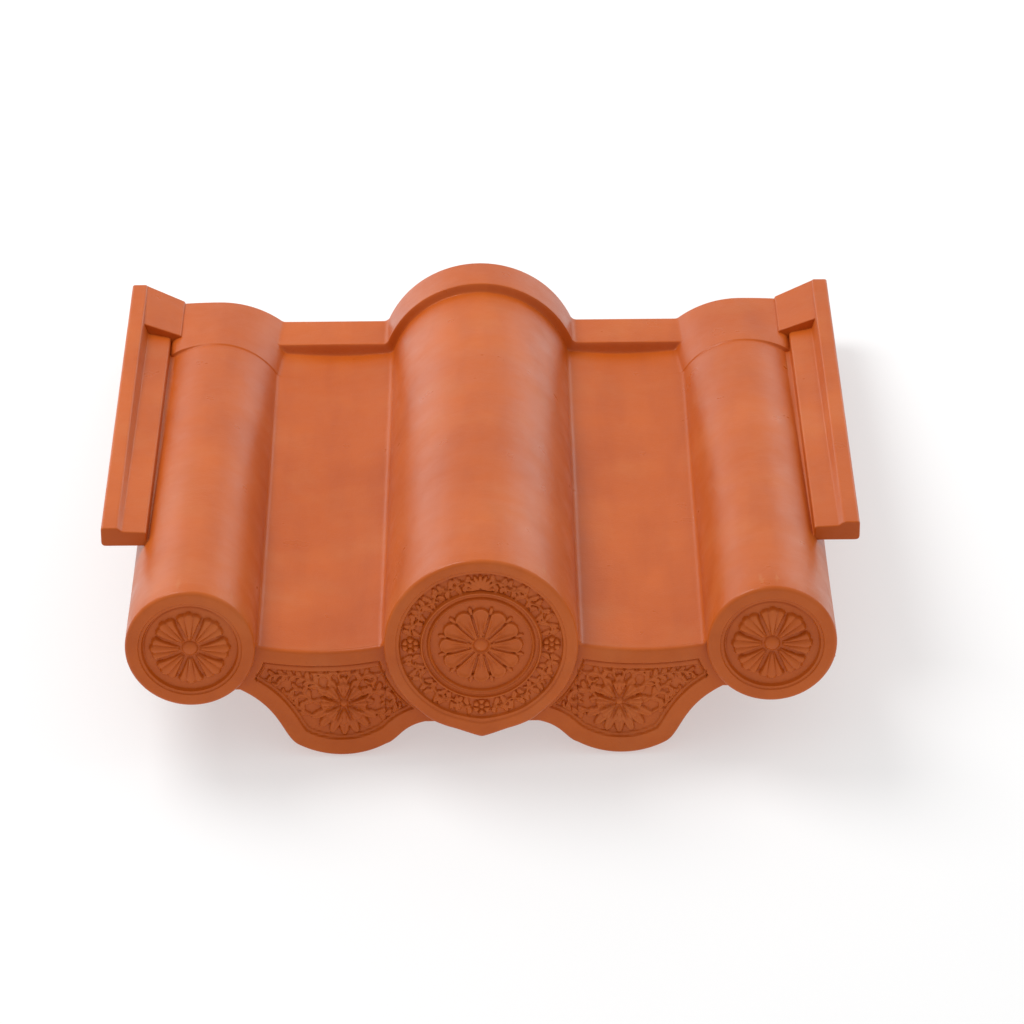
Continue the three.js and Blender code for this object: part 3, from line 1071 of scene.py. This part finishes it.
def cubic(points: list[Pair], count: int) -> np.ndarray:
    """Draw a cubic curve.

    Args:
        points: Its four control points.
        count: How many points to return.

    Returns:
        Points along the curve.
    """
    a, b, c, d = (np.array(point, float) for point in points)
    t = np.linspace(0.0, 1.0, count)[:, None]
    return (1 - t) ** 3 * a + 3 * (1 - t) ** 2 * t * b + 3 * (1 - t) * t**2 * c + t**3 * d


@dataclass(frozen=True)
class FrontPlate:
    """The scalloped plate under the pans, with a sunk and moulded panel in each pendant.

    The scallop runs from the notch, in a curve, an arc and a curve, out to the side disc. Its
    controls are shares of the span between the discs and of the drop. The flower's leaves and
    scrolls are given from the flower's middle.
    """

    shell: Shell
    thick: float = 12.0
    drop: float = 72.8
    notch_drop: float = 51.0
    outer_drop: float = 28.5
    arc_radius: float = 51.0
    rim_width: float = 10.5
    band_width: float = 9.5
    panel_depth: float = 3.0
    line_depth: float = 0.7
    step_width: float = 1.9
    strip_width: float = 4.4
    edge: float = 2.0
    pitch: float = 0.62
    rows: int = 116
    kept: float = 0.46
    flower: Pair = (80.5, -38.5)
    panel_from: float = 60.5
    panel_to: float = 44.0
    notch_share: float = 0.59
    disc_share: float = 0.74
    arc_middle: float = 0.454
    arc_from: float = 0.213
    arc_to: float = 0.685
    inner_controls: tuple[Pair, ...] = ((0.13, 0.14), (0.148, 0.57))
    outer_controls: tuple[Pair, ...] = ((0.778, 0.745), (0.769, 0.305))
    curve_points: int = 24
    arc_points: int = 30
    notch_points: int = 7
    end_points: int = 6
    edge_rows: int = 5
    top_reach: Pair = (50.0, 30.0)
    top_limit: float = 8.0
    middle_roll_from: Pair = (46.0, 52.0)
    side_roll_from: Pair = (34.0, 28.0)
    wall_step: float = 0.8
    outer_share: float = 0.6
    line_width: float = 0.55
    line_inset: float = 1.0
    line_fade: Pair = (1.5, 4.0)
    relief_from: Pair = (0.2, 1.2)
    rear_cut: float = 1.0
    rear_round: tuple[Pair, ...] = ((1.5, 0.0), (0.3, 0.4), (0.0, 1.5))
    scrolls: tuple[tuple[Pair, ...], ...] = (
        ((12, 8), (17, 14), (26, 18), (35, 19.5), (43, 19), (45, 13), (38, 12), (37, 16)),
        ((15, 0), (22, 4), (25, 11), (32, 8), (30, 3)),
        ((19, -8), (24, -5), (30, 1), (36, 7), (42, 9)),
        ((-8, 12), (-11, 18), (-17, 20), (-20, 15), (-15, 13)),
        ((9, 12), (7, 17), (11, 20), (18, 20)),
        ((-13, 3), (-19, 9), (-27, 8), (-31, 1), (-26, -2), (-22, 3)),
        ((-16, -5), (-22, -8), (-28, -8), (-33, -3)),
        ((-2, 15), (-4, 19), (-9, 21)),
        ((2, 15), (3, 19), (1, 21)))

    def scallop(self) -> np.ndarray:
        """Trace one pendant's lower edge.

        Returns:
            The [x, z] points from the notch out to the side disc.
        """
        start = self.shell.centre_half * self.notch_share
        end = self.shell.side_axis - self.shell.side_half * self.disc_share

        def across(share: float) -> float:
            """Return the X at a share of the span."""
            return mix(start, end, share)

        def controls(shares: tuple[Pair, ...],
                     drop: float) -> list[Pair]:
            """Return control points from shares of the span and of the way down from a drop."""
            return [(across(along), mix(-drop, -self.drop, down)) for along, down in shares]

        middle = across(self.arc_middle)
        level = self.arc_radius - self.drop

        def on_arc(x: float) -> Pair:
            """Return the point of the bottom arc at an X."""
            return x, level - math.sqrt(max(self.arc_radius**2 - (x - middle) ** 2, 0.0))

        first, last = across(self.arc_from), across(self.arc_to)
        inner = cubic([(start, -self.notch_drop), *controls(self.inner_controls, self.notch_drop),
                       on_arc(first)], self.curve_points)
        bottom = np.array([on_arc(x) for x in np.linspace(first, last, self.arc_points)])
        outer = cubic([on_arc(last), *controls(self.outer_controls, self.outer_drop),
                       (end, -self.outer_drop)], self.curve_points)
        return np.concatenate([inner[:-1], bottom, outer[1:]])

    def lower_edge(self) -> np.ndarray:
        """Trace the whole lower edge at an even pitch.

        Returns:
            The [x, z] points from left to right.
        """
        right = self.scallop()
        end = np.array([[self.shell.side_axis, -self.outer_drop]])
        half = np.concatenate([[[0.0, -self.notch_drop]], right, end])
        run = np.concatenate([[0.0], np.cumsum(np.linalg.norm(np.diff(half, axis=0), axis=1))])
        fine = np.arange(run[1], run[-2], self.pitch)
        stops = np.concatenate([np.linspace(0.0, run[1], self.notch_points)[:-1], fine,
                                np.linspace(run[-2], run[-1], self.end_points)])
        half = np.stack([np.interp(stops, run, half[:, k]) for k in (0, 1)], axis=-1)
        return np.concatenate([half[::-1][:-1] * np.array([-1.0, 1.0]), half])

    def top_level(self, x: np.ndarray) -> np.ndarray:
        """Find the plate's top: the pan's surface, and hidden in the rolls beside it.

        Args:
            x: Points across.

        Returns:
            The top level at each point.
        """
        surface = self.shell.upper(self.shell.front)
        first, last = self.top_reach
        axis = self.shell.side_axis
        keep = surface[(surface[:, 0] > first) & (surface[:, 0] < axis - last)]
        level = np.interp(np.abs(x), keep[:, 0], keep[:, 1])
        level = np.minimum(level, self.top_limit)
        hidden = 1 - eased(*self.middle_roll_from, np.abs(x))
        outside, inside = self.side_roll_from
        hidden = np.maximum(hidden, eased(axis - outside, axis - inside, np.abs(x)))
        return level * (1 - hidden) - self.shell.wall / 2 * hidden

    def carving(self) -> list[Relief]:
        """Lay out the right pendant's relief.

        Returns:
            The flower, the leaves above and below it, and the leafy scrolls.
        """
        x, z = self.flower
        made: list[Relief] = [
            Rosette(petals=8, radius=14.4, boss=2.6, boss_rise=2.5, rise=3.0, flutes=3, x=x, z=z,
                    gap=0.8)]
        made += fan(self.flower, 13.4, spread(7, 0.5), length=8.5, width=5.2, rise=1.9)
        made += fan(self.flower, 14.2, spread(7, 0.37, math.pi), length=14.0, width=5.6, rise=2.1)
        for scroll in self.scrolls:
            path = tuple((x + dx, z + dz) for dx, dz in scroll)
            made.append(Vine(path, width=1.9, leaf=7.2, pitch=2.6, lean=0.8))
        return made

    def face(self, x: np.ndarray, z: np.ndarray, off_edge: np.ndarray,
             top: np.ndarray) -> np.ndarray:
        """Find how far the front face is sunk.

        Args:
            x: Points across.
            z: Points up.
            off_edge: Each point's distance from the lower edge.
            top: The plate's top level above each point.

        Returns:
            The depth behind the plate's face, less any relief.
        """
        across = np.abs(x)
        centre = self.shell.centre_round(0.0)
        side = self.shell.side_rounds(0.0)[0]
        below = top - self.band_width - z
        off_rim = off_edge - self.rim_width
        room = np.minimum(off_rim, np.hypot(across, z - centre.level) - self.panel_from)
        room = np.minimum(room, np.hypot(across - side.axis, z - side.level) - self.panel_to)
        inner = np.minimum(room - self.step_width, below - self.strip_width)
        room = np.minimum(room, below)
        sunk = self.panel_depth * (self.outer_share * eased(0.0, self.wall_step, room)
                                   + (1 - self.outer_share) * eased(0.0, self.wall_step, inner))
        line = soft_line(room, self.line_inset, self.line_width)
        sunk += self.line_depth * line * eased(*self.line_fade, off_rim)
        height = np.zeros_like(x)
        for form in self.carving():
            height = np.maximum(height, form.height(across, z))
        return sunk - height * eased(*self.relief_from, inner)

    def build(self, mesher: Mesher) -> bpy.types.Object:
        """Build the plate, section by section across the tile.

        Args:
            mesher: The maker of closed meshes.

        Returns:
            One closed object.
        """
        edge = self.lower_edge()
        run = np.gradient(edge, axis=0)
        run /= np.linalg.norm(run, axis=1, keepdims=True)
        inward = np.stack([-run[:, 1], run[:, 0]], axis=-1)
        turn = np.linspace(0.0, QUARTER_TURN, self.edge_rows)
        start = edge + inward * self.edge
        top = self.top_level(start[:, 0])
        end = np.stack([start[:, 0], top - self.edge], axis=-1)
        sections = []
        for angle in turn[:-1]:
            spot = edge + inward * self.edge * (1 - math.cos(angle))
            sections.append((spot, np.full(len(edge), self.edge * (1 - math.sin(angle)))))
        for share in np.linspace(0.0, 1.0, self.rows):
            spot = start + (end - start) * share
            gap = np.min(np.hypot(spot[:, None, 0] - edge[None, :, 0],
                                  spot[:, None, 1] - edge[None, :, 1]), axis=1)
            sections.append((spot, self.face(spot[:, 0], spot[:, 1], gap, top)))
        for angle in turn[1:]:
            spot = np.stack([end[:, 0], top - self.edge * (1 - math.sin(angle))], axis=-1)
            sections.append((spot, np.full(len(edge), self.edge * (1 - math.cos(angle)))))
        rear = np.stack([end[:, 0], top - self.rear_cut], axis=-1)
        sections.append((rear, np.full(len(edge), self.thick)))
        for inset_by, back in self.rear_round:
            sections.append((edge + inward * inset_by, np.full(len(edge), self.thick - back)))
        rings = np.array([np.stack([spot[:, 0], y, spot[:, 1]], axis=-1) for spot, y in sections])
        plate = mesher.lofted("front_plate", rings.transpose(1, 0, 2))
        return mesher.thinned(plate, self.kept)


@dataclass(frozen=True)
class Mottle:
    """One layer of noise in the clay: its scale, detail, the range that shows and its strength."""

    scale: float
    detail: float
    low: float
    high: float
    amount: float
    stretch: Triple = (1.0, 1.0, 1.0)


class ClayNodes:
    """The node tree of a clay material, with the few kinds of node that it needs."""

    def __init__(self, material: bpy.types.Material) -> None:
        """Start an empty tree with object coordinates."""
        self.nodes, self.links = material.node_tree.nodes, material.node_tree.links
        self.nodes.clear()
        self.place = self.nodes.new("ShaderNodeTexCoord").outputs["Object"]

    def noise(self, scale: float, detail: float,
              stretch: Triple = (1.0, 1.0, 1.0)) -> Socket:
        """Add a noise.

        Args:
            scale: The noise's scale.
            detail: The noise's detail.
            stretch: How much finer it is along each axis.

        Returns:
            The noise's output.
        """
        mapping = self.nodes.new("ShaderNodeMapping")
        mapping.inputs["Scale"].default_value = stretch
        self.links.new(self.place, mapping.inputs["Vector"])
        grain = self.nodes.new("ShaderNodeTexNoise")
        grain.inputs["Scale"].default_value = scale
        grain.inputs["Detail"].default_value = detail
        self.links.new(mapping.outputs["Vector"], grain.inputs["Vector"])
        return grain.outputs["Fac"]

    def ranged(self, value: Socket, low: float, high: float, start: float,
               end: float) -> Socket:
        """Map a value from one range to another.

        Args:
            value: The output to map.
            low: The value that gives start.
            high: The value that gives end.
            start: The first end of the new range.
            end: The other end of the new range.

        Returns:
            The mapped output.
        """
        node = self.nodes.new("ShaderNodeMapRange")
        numbers = {"From Min": low, "From Max": high, "To Min": start, "To Max": end}
        for name, number in numbers.items():
            node.inputs[name].default_value = number
        self.links.new(value, node.inputs["Value"])
        return node.outputs["Result"]

    def blended(self, share: Socket,
                *colours: Socket | Triple) -> Socket:
        """Mix two colours.

        Args:
            share: How much of the second colour shows.
            colours: The two colours, each an output or a plain colour.

        Returns:
            The mixed colour's output.
        """
        node = self.nodes.new("ShaderNodeMix")
        node.data_type = "RGBA"
        self.links.new(share, node.inputs["Factor"])
        for name, colour in zip(("A", "B"), colours):
            if isinstance(colour, tuple):
                node.inputs[name].default_value = (*colour, 1.0)
            else:
                self.links.new(colour, node.inputs[name])
        return node.outputs["Result"]

    def mottled(self, layer: Mottle, under: Socket | Triple,
                over: Triple) -> Socket:
        """Lay a noise of one colour over another.

        Args:
            layer: The noise.
            under: The colour below, an output or a plain colour.
            over: The colour of the noise.

        Returns:
            The mixed colour's output.
        """
        noise = self.noise(layer.scale, layer.detail, layer.stretch)
        share = self.ranged(noise, layer.low, layer.high, 0.0, layer.amount)
        return self.blended(share, under, over)

    def bump(self, height: Socket, strength: float,
             distance: float) -> bpy.types.ShaderNodeBump:
        """Add a bump from a height.

        Args:
            height: The height's output.
            strength: The bump's strength.
            distance: The height of a full bump in metres.

        Returns:
            The bump node.
        """
        node = self.nodes.new("ShaderNodeBump")
        node.inputs["Strength"].default_value = strength
        node.inputs["Distance"].default_value = distance
        self.links.new(height, node.inputs["Height"])
        return node


@dataclass(frozen=True)
class FiredClay:
    """Satin orange-brown fired clay with fine grain and faint mottling, painted shade in its
    hollows, and paler edges that are partly wear and partly painted highlight.
    """

    light: Triple = (0.54, 0.112, 0.014)
    mid: Triple = (0.47, 0.086, 0.006)
    # The deep colour darkens the streaks and specks, and is also mixed in as painted shade in the
    # hollows.
    deep: Triple = (0.31, 0.044, 0.005)
    # Paler clay, used for random pale patches and also as painted highlight on sharp edges.
    bloom_and_highlight: Triple = (0.53, 0.170, 0.050)
    clouds: Mottle = Mottle(11.0, 4.0, 0.35, 0.68, 1.0)
    streaks: Mottle = Mottle(60.0, 3.0, 0.45, 0.75, 0.22, (1.0, 0.12, 1.0))
    pale: Mottle = Mottle(24.0, 5.0, 0.52, 0.78, 0.26)
    specks: Mottle = Mottle(520.0, 2.0, 0.66, 0.76, 0.20)
    gloss: Mottle = Mottle(45.0, 4.0, 0.3, 0.7, 0.16)
    # Painted shade: how far ambient occlusion looks for hollows, and how strongly they are darkened
    # towards the deep colour.
    painted_shade_reach: float = 0.0045
    painted_shade_samples: int = 6
    painted_shade_range: Pair = (0.3, 0.95)
    painted_shade_amount: float = 0.22
    # Paler sharp edges found by pointiness: partly wear, partly painted highlight.
    wear_and_highlight_range: Pair = (0.535, 0.61)
    wear_and_highlight_amount: float = 0.42
    smoothest: float = 0.27
    specular: float = 0.25
    grain: Pair = (900.0, 5.0)
    grain_bump: Pair = (0.7, 0.00016)
    waves: Pair = (38.0, 3.0)
    wave_bump: Pair = (0.5, 0.0008)

    def colour(self, tree: ClayNodes) -> Socket:
        """Build the clay's colour: mottling, painted shade in the hollows, and paler edges that are
        partly wear and partly painted highlight.

        Args:
            tree: The material's nodes.

        Returns:
            The colour's output.
        """
        clay = tree.mottled(self.clouds, self.mid, self.light)
        for layer, over in ((self.streaks, self.deep), (self.pale, self.bloom_and_highlight),
                            (self.specks, self.deep)):
            clay = tree.mottled(layer, clay, over)
        # Painted shade: the colour is darkened towards the deep colour in the hollows that ambient
        # occlusion finds.
        shade = tree.nodes.new("ShaderNodeAmbientOcclusion")
        shade.samples = self.painted_shade_samples
        shade.inputs["Distance"].default_value = self.painted_shade_reach
        hollow = tree.ranged(shade.outputs["AO"], *self.painted_shade_range, self.painted_shade_amount, 0.0)
        clay = tree.blended(hollow, clay, self.deep)
        # Paler sharp edges: partly wear, partly painted highlight.
        edges = tree.nodes.new("ShaderNodeNewGeometry").outputs["Pointiness"]
        wear_and_highlight = tree.ranged(edges, *self.wear_and_highlight_range, 0.0, self.wear_and_highlight_amount)
        return tree.blended(wear_and_highlight, clay, self.bloom_and_highlight)

    def material(self) -> bpy.types.Material:
        """Build the clay as a procedural material.

        Returns:
            The material.
        """
        made = bpy.data.materials.new("fired_clay")
        made.use_nodes = True
        tree = ClayNodes(made)
        out = tree.nodes.new("ShaderNodeOutputMaterial")
        shader = tree.nodes.new("ShaderNodeBsdfPrincipled")
        tree.links.new(shader.outputs["BSDF"], out.inputs["Surface"])
        shader.inputs["Specular IOR Level"].default_value = self.specular
        tree.links.new(self.colour(tree), shader.inputs["Base Color"])
        gloss = self.gloss
        rough = tree.ranged(tree.noise(gloss.scale, gloss.detail), gloss.low, gloss.high,
                            self.smoothest, self.smoothest + gloss.amount)
        tree.links.new(rough, shader.inputs["Roughness"])
        waves = tree.bump(tree.noise(*self.waves), *self.wave_bump)
        fine = tree.bump(tree.noise(*self.grain), *self.grain_bump)
        tree.links.new(waves.outputs["Normal"], fine.inputs["Normal"])
        tree.links.new(fine.outputs["Normal"], shader.inputs["Normal"])
        return made


@dataclass(frozen=True)
class Wreath:
    """The middle disc's border: a palmette on top, three florets and leafy scrolls between them.

    Each row of leaves has a count, a reach from the disc's middle and a turn off the radius.
    """

    ring: float = 41.0
    palmette_leaves: int = 9
    palmette_drop: float = 3.6
    palmette_reach: float = 4.4
    palmette_turn: float = 0.42
    leaf_rows: tuple[tuple[int, float, float], ...] = ((52, 43.9, 0.0), (44, 38.2, math.pi))
    leaf_leans: Pair = (0.55, -0.4)
    leaf_length: float = 6.2
    leaf_change: float = 0.9
    leaf_width: float = 3.3
    leaf_rise: float = 1.4
    leaf_curl: float = 0.25
    clear_turn: float = 0.16
    scroll_gap: float = 0.17
    scroll_swing: float = 1.5
    scroll_swings: int = 7
    scroll_points: int = 40

    def leaves(self) -> list[Leaf]:
        """Lay out the two rows of leaves, clear of the palmette and the florets.

        Returns:
            The leaves.
        """
        made = []
        for count, reach, inward in self.leaf_rows:
            for k in range(count):
                at = (k + 0.5) / count * FULL_TURN
                off = (at + QUARTER_TURN / 2) % QUARTER_TURN - QUARTER_TURN / 2
                if abs(off) < self.clear_turn:
                    continue
                lean = self.leaf_leans[k % 2]
                length = self.leaf_length + self.leaf_change * math.sin(at * 12)
                curl = math.copysign(self.leaf_curl, lean)
                made.append(Leaf(reach * math.sin(at), reach * math.cos(at), length,
                                 self.leaf_width, at + inward + lean, self.leaf_rise, curl))
        return made

    def scrolls(self) -> list[Vine]:
        """Lay out the winding stems, one in each quarter.

        Returns:
            The stems with their leaves.
        """
        made = []
        for start in np.arange(4) * QUARTER_TURN:
            turns = np.linspace(self.scroll_gap, QUARTER_TURN - self.scroll_gap, self.scroll_points)
            turns = start + turns
            waves = np.sin(np.linspace(0.0, self.scroll_swings * math.pi, self.scroll_points))
            reach = self.ring + self.scroll_swing * waves
            spots = np.stack([reach * np.sin(turns), reach * np.cos(turns)], axis=-1)
            made.append(Vine(tuple(map(tuple, spots)), width=1.5, leaf=4.6, pitch=3.1, lean=0.9))
        return made

    def relief(self) -> list[Relief]:
        """Lay out the whole border.

        Returns:
            The palmette, the florets, the leaves and the stems.
        """
        top = (0.0, self.ring - self.palmette_drop)
        turns = spread(self.palmette_leaves, self.palmette_turn)
        made: list[Relief] = [
            *fan(top, self.palmette_reach, turns, length=8.8, width=2.6, rise=1.9, vein=0.25)]
        for at in (QUARTER_TURN, math.pi, 3 * QUARTER_TURN):
            made.append(Rosette(petals=6, radius=5.4, boss=1.6, boss_rise=1.9, rise=2.1, flutes=1,
                                x=self.ring * math.sin(at), z=self.ring * math.cos(at), gap=0.5))
        return made + self.leaves() + self.scrolls()


class EavesTile:
    """The whole tile as one piece."""

    smooth_angle: float = math.radians(42.0)
    disc_end: float = 2.6

    def __init__(self, clay: FiredClay) -> None:
        """Keep the finish and the parts that the tile is fused from."""
        self.clay = clay
        self.shell = Shell()
        self.flange = Flange(self.shell)
        self.plate = FrontPlate(self.shell)

    def discs(self) -> list[Disc]:
        """Lay out the discs that close the three rolls.

        Returns:
            The middle disc and the two side discs.
        """
        side = self.shell.side_rounds(0.0)[0]
        centre = self.shell.centre_round(0.0)
        small = Rosette(petals=8, radius=23.8, boss=4.9, boss_rise=3.0, rise=3.3, flutes=3)
        large = Rosette(petals=12, radius=24.6, boss=4.4, boss_rise=2.2, rise=2.3, gap=0.3, web=0.5)
        sepals = fan((0.0, 0.0), 22.9, (np.arange(12) + 0.5) * math.pi / 6, length=5.4, width=2.6,
                     rise=1.5, vein=0.2)
        collar, rings = (5.3, 0.7, 1.9), ((34.6, 0.8, 2.7), (32.4, 1.5, 0.9), (30.3, 0.8, 2.4))
        ditch = (27.8, 1.3, -0.8)
        made = [Disc("disc_middle", 0.0, centre, self.shell.centre_round(self.disc_end), 47.8,
                     (large, *sepals, *Wreath().relief()), columns=460, kept=0.56, point_drop=5.0,
                     beads=16, line_depth=0.2, ridges=(collar, *rings, ditch))]
        for one in Side:
            made.append(Disc(f"disc_{one.name.lower()}", one.value * side.axis, side,
                             self.shell.side_rounds(self.disc_end)[0], 28.2, (small,)))
        return made

    def shaded(self, tile: bpy.types.Object) -> None:
        """Smooth the mesh between its sharp edges, with the normals led by the larger faces.

        Args:
            tile: The fused tile, whose mesh is replaced.
        """
        rough = tile.data
        rough.polygons.foreach_set("use_smooth", [True] * len(rough.polygons))
        rough.set_sharp_from_angle(angle=self.smooth_angle)
        weighted = tile.modifiers.new("normals", "WEIGHTED_NORMAL")
        weighted.keep_sharp = True
        graph = bpy.context.evaluated_depsgraph_get()
        tile.data = bpy.data.meshes.new_from_object(tile.evaluated_get(graph))
        tile.modifiers.clear()
        bpy.data.meshes.remove(rough)

    def build(self, mesher: Mesher) -> bpy.types.Object:
        """Build, fuse and finish the tile.

        Args:
            mesher: The maker of closed meshes.

        Returns:
            The finished piece, riding on the root body in place of the solid.
        """
        parts = [self.shell.build(mesher), self.plate.build(mesher)]
        parts += [disc.build(mesher) for disc in self.discs()]
        for one in Side:
            parts += self.flange.build(mesher, one)
        for part in parts:
            LOG.info("%s: %d faces", part.name, len(part.data.polygons))
        tile = mesher.fused("clay_eaves_tile", parts)
        self.shaded(tile)
        mesh = tile.data
        mesh.materials.clear()
        mesh.materials.append(self.clay.material())
        mesh.calc_loop_triangles()
        LOG.info("%s: %d triangles", tile.name, len(mesh.loop_triangles))
        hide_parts(NODE)
        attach(tile, BODY)
        return tile


@dataclass(frozen=True)
class PhotoCamera:
    """The photograph's camera, fitted in the tile's own frame, in millimetres and degrees."""

    focal_pixels: float = 5291.92
    picture: float = 1024.0
    sensor: float = 36.0
    azimuth: float = 0.18
    elevation: float = 27.83
    roll: float = -0.42
    distance: float = 3217.97
    target: Triple = (19.03, 163.43, 1.63)
    clip: Pair = (0.1, 50.0)

    def build(self, pose: RestPose) -> bpy.types.Object:
        """Build the camera and make it the scene's own.

        Args:
            pose: The pose that takes the tile's frame to the floor's.

        Returns:
            The camera.
        """
        az, el, roll = (math.radians(v) for v in (self.azimuth, self.elevation, self.roll))
        ahead = np.array([math.sin(az) * math.cos(el), math.cos(az) * math.cos(el), -math.sin(el)])
        right = np.array([math.cos(az), -math.sin(az), 0.0])
        up = np.cross(right, ahead)
        across = right * math.cos(roll) + up * math.sin(roll)
        over = -right * math.sin(roll) + up * math.cos(roll)
        spot = pose.placed(np.array(self.target) - ahead * self.distance)
        columns = [pose.turned(axis) for axis in (across, over, -ahead)]
        data = bpy.data.cameras.new("photo_camera")
        data.sensor_width = self.sensor
        data.lens = self.focal_pixels / self.picture * self.sensor
        data.clip_start, data.clip_end = self.clip
        camera = bpy.data.objects.new("photo_camera", data)
        bpy.context.scene.collection.objects.link(camera)
        matrix = Matrix(np.array(columns).T.tolist()).to_4x4()
        matrix.translation = Vector(spot)
        camera.matrix_world = matrix
        bpy.context.scene.camera = camera
        return camera


@dataclass(frozen=True)
class Softbox:
    """One area light by its place, aim, size and power."""

    name: str
    place: Triple
    size: float
    power: float
    aim: Triple = (0.0, 0.0, 0.04)

    def build(self) -> bpy.types.Object:
        """Build the light, turned to its aim.

        Returns:
            The light.
        """
        data = bpy.data.lights.new(self.name, "AREA")
        data.shape = "DISK"
        data.size = self.size
        data.energy = self.power
        lamp = bpy.data.objects.new(self.name, data)
        lamp.location = self.place
        lamp.rotation_mode = "QUATERNION"
        ahead = Vector(self.aim) - Vector(self.place)
        lamp.rotation_quaternion = ahead.to_track_quat("-Z", "Y")
        bpy.context.scene.collection.objects.link(lamp)
        return lamp


@dataclass(frozen=True)
class Studio:
    """A pale floor under soft light."""

    floor_size: float = 12.0
    floor_tone: float = 0.50
    floor_glow: float = 0.46
    floor_roughness: float = 0.7
    floor_specular: float = 0.2
    sky: float = 0.66
    boxes: tuple[Softbox, ...] = field(default_factory=lambda: (
        Softbox("key_above", (-1.1, 0.8, 1.9), 1.3, 32.0),
        Softbox("fill_right", (1.6, 0.1, 1.7), 1.0, 4.0),
        Softbox("strip_left", (-1.35, 2.0, 0.62), 1.25, 4.5),
        Softbox("strip_right", (1.25, 2.0, 0.70), 1.25, 5.0),
    ))

    def build(self) -> None:
        """Build the floor, the sky and the lights."""
        half = self.floor_size / 2
        mesh = bpy.data.meshes.new("floor")
        corners = [(-half, -half, 0), (half, -half, 0), (half, half, 0), (-half, half, 0)]
        mesh.from_pydata(corners, [], [(0, 1, 2, 3)])
        floor = bpy.data.objects.new("floor", mesh)
        bpy.context.scene.collection.objects.link(floor)
        paint = bpy.data.materials.new("pale_floor")
        paint.use_nodes = True
        shader = paint.node_tree.nodes["Principled BSDF"]
        shader.inputs["Base Color"].default_value = (self.floor_tone,) * 3 + (1.0,)
        shader.inputs["Roughness"].default_value = self.floor_roughness
        shader.inputs["Specular IOR Level"].default_value = self.floor_specular
        shader.inputs["Emission Color"].default_value = WHITE
        shader.inputs["Emission Strength"].default_value = self.floor_glow
        mesh.materials.append(paint)
        world = bpy.data.worlds.new("studio")
        world.use_nodes = True
        ground = world.node_tree.nodes["Background"]
        ground.inputs["Color"].default_value = WHITE
        ground.inputs["Strength"].default_value = self.sky
        bpy.context.scene.world = world
        bpy.context.scene.view_settings.view_transform = "Standard"
        for box in self.boxes:
            box.build()


def main() -> None:
    """Build the camera, the studio and the tile."""
    logging.basicConfig(level=logging.INFO, format="%(name)s %(message)s")
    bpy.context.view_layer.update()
    pose = RestPose()
    PhotoCamera().build(pose)
    Studio().build()
    EavesTile(FiredClay()).build(Mesher(pose))


if __name__ == "__main__":
    main()
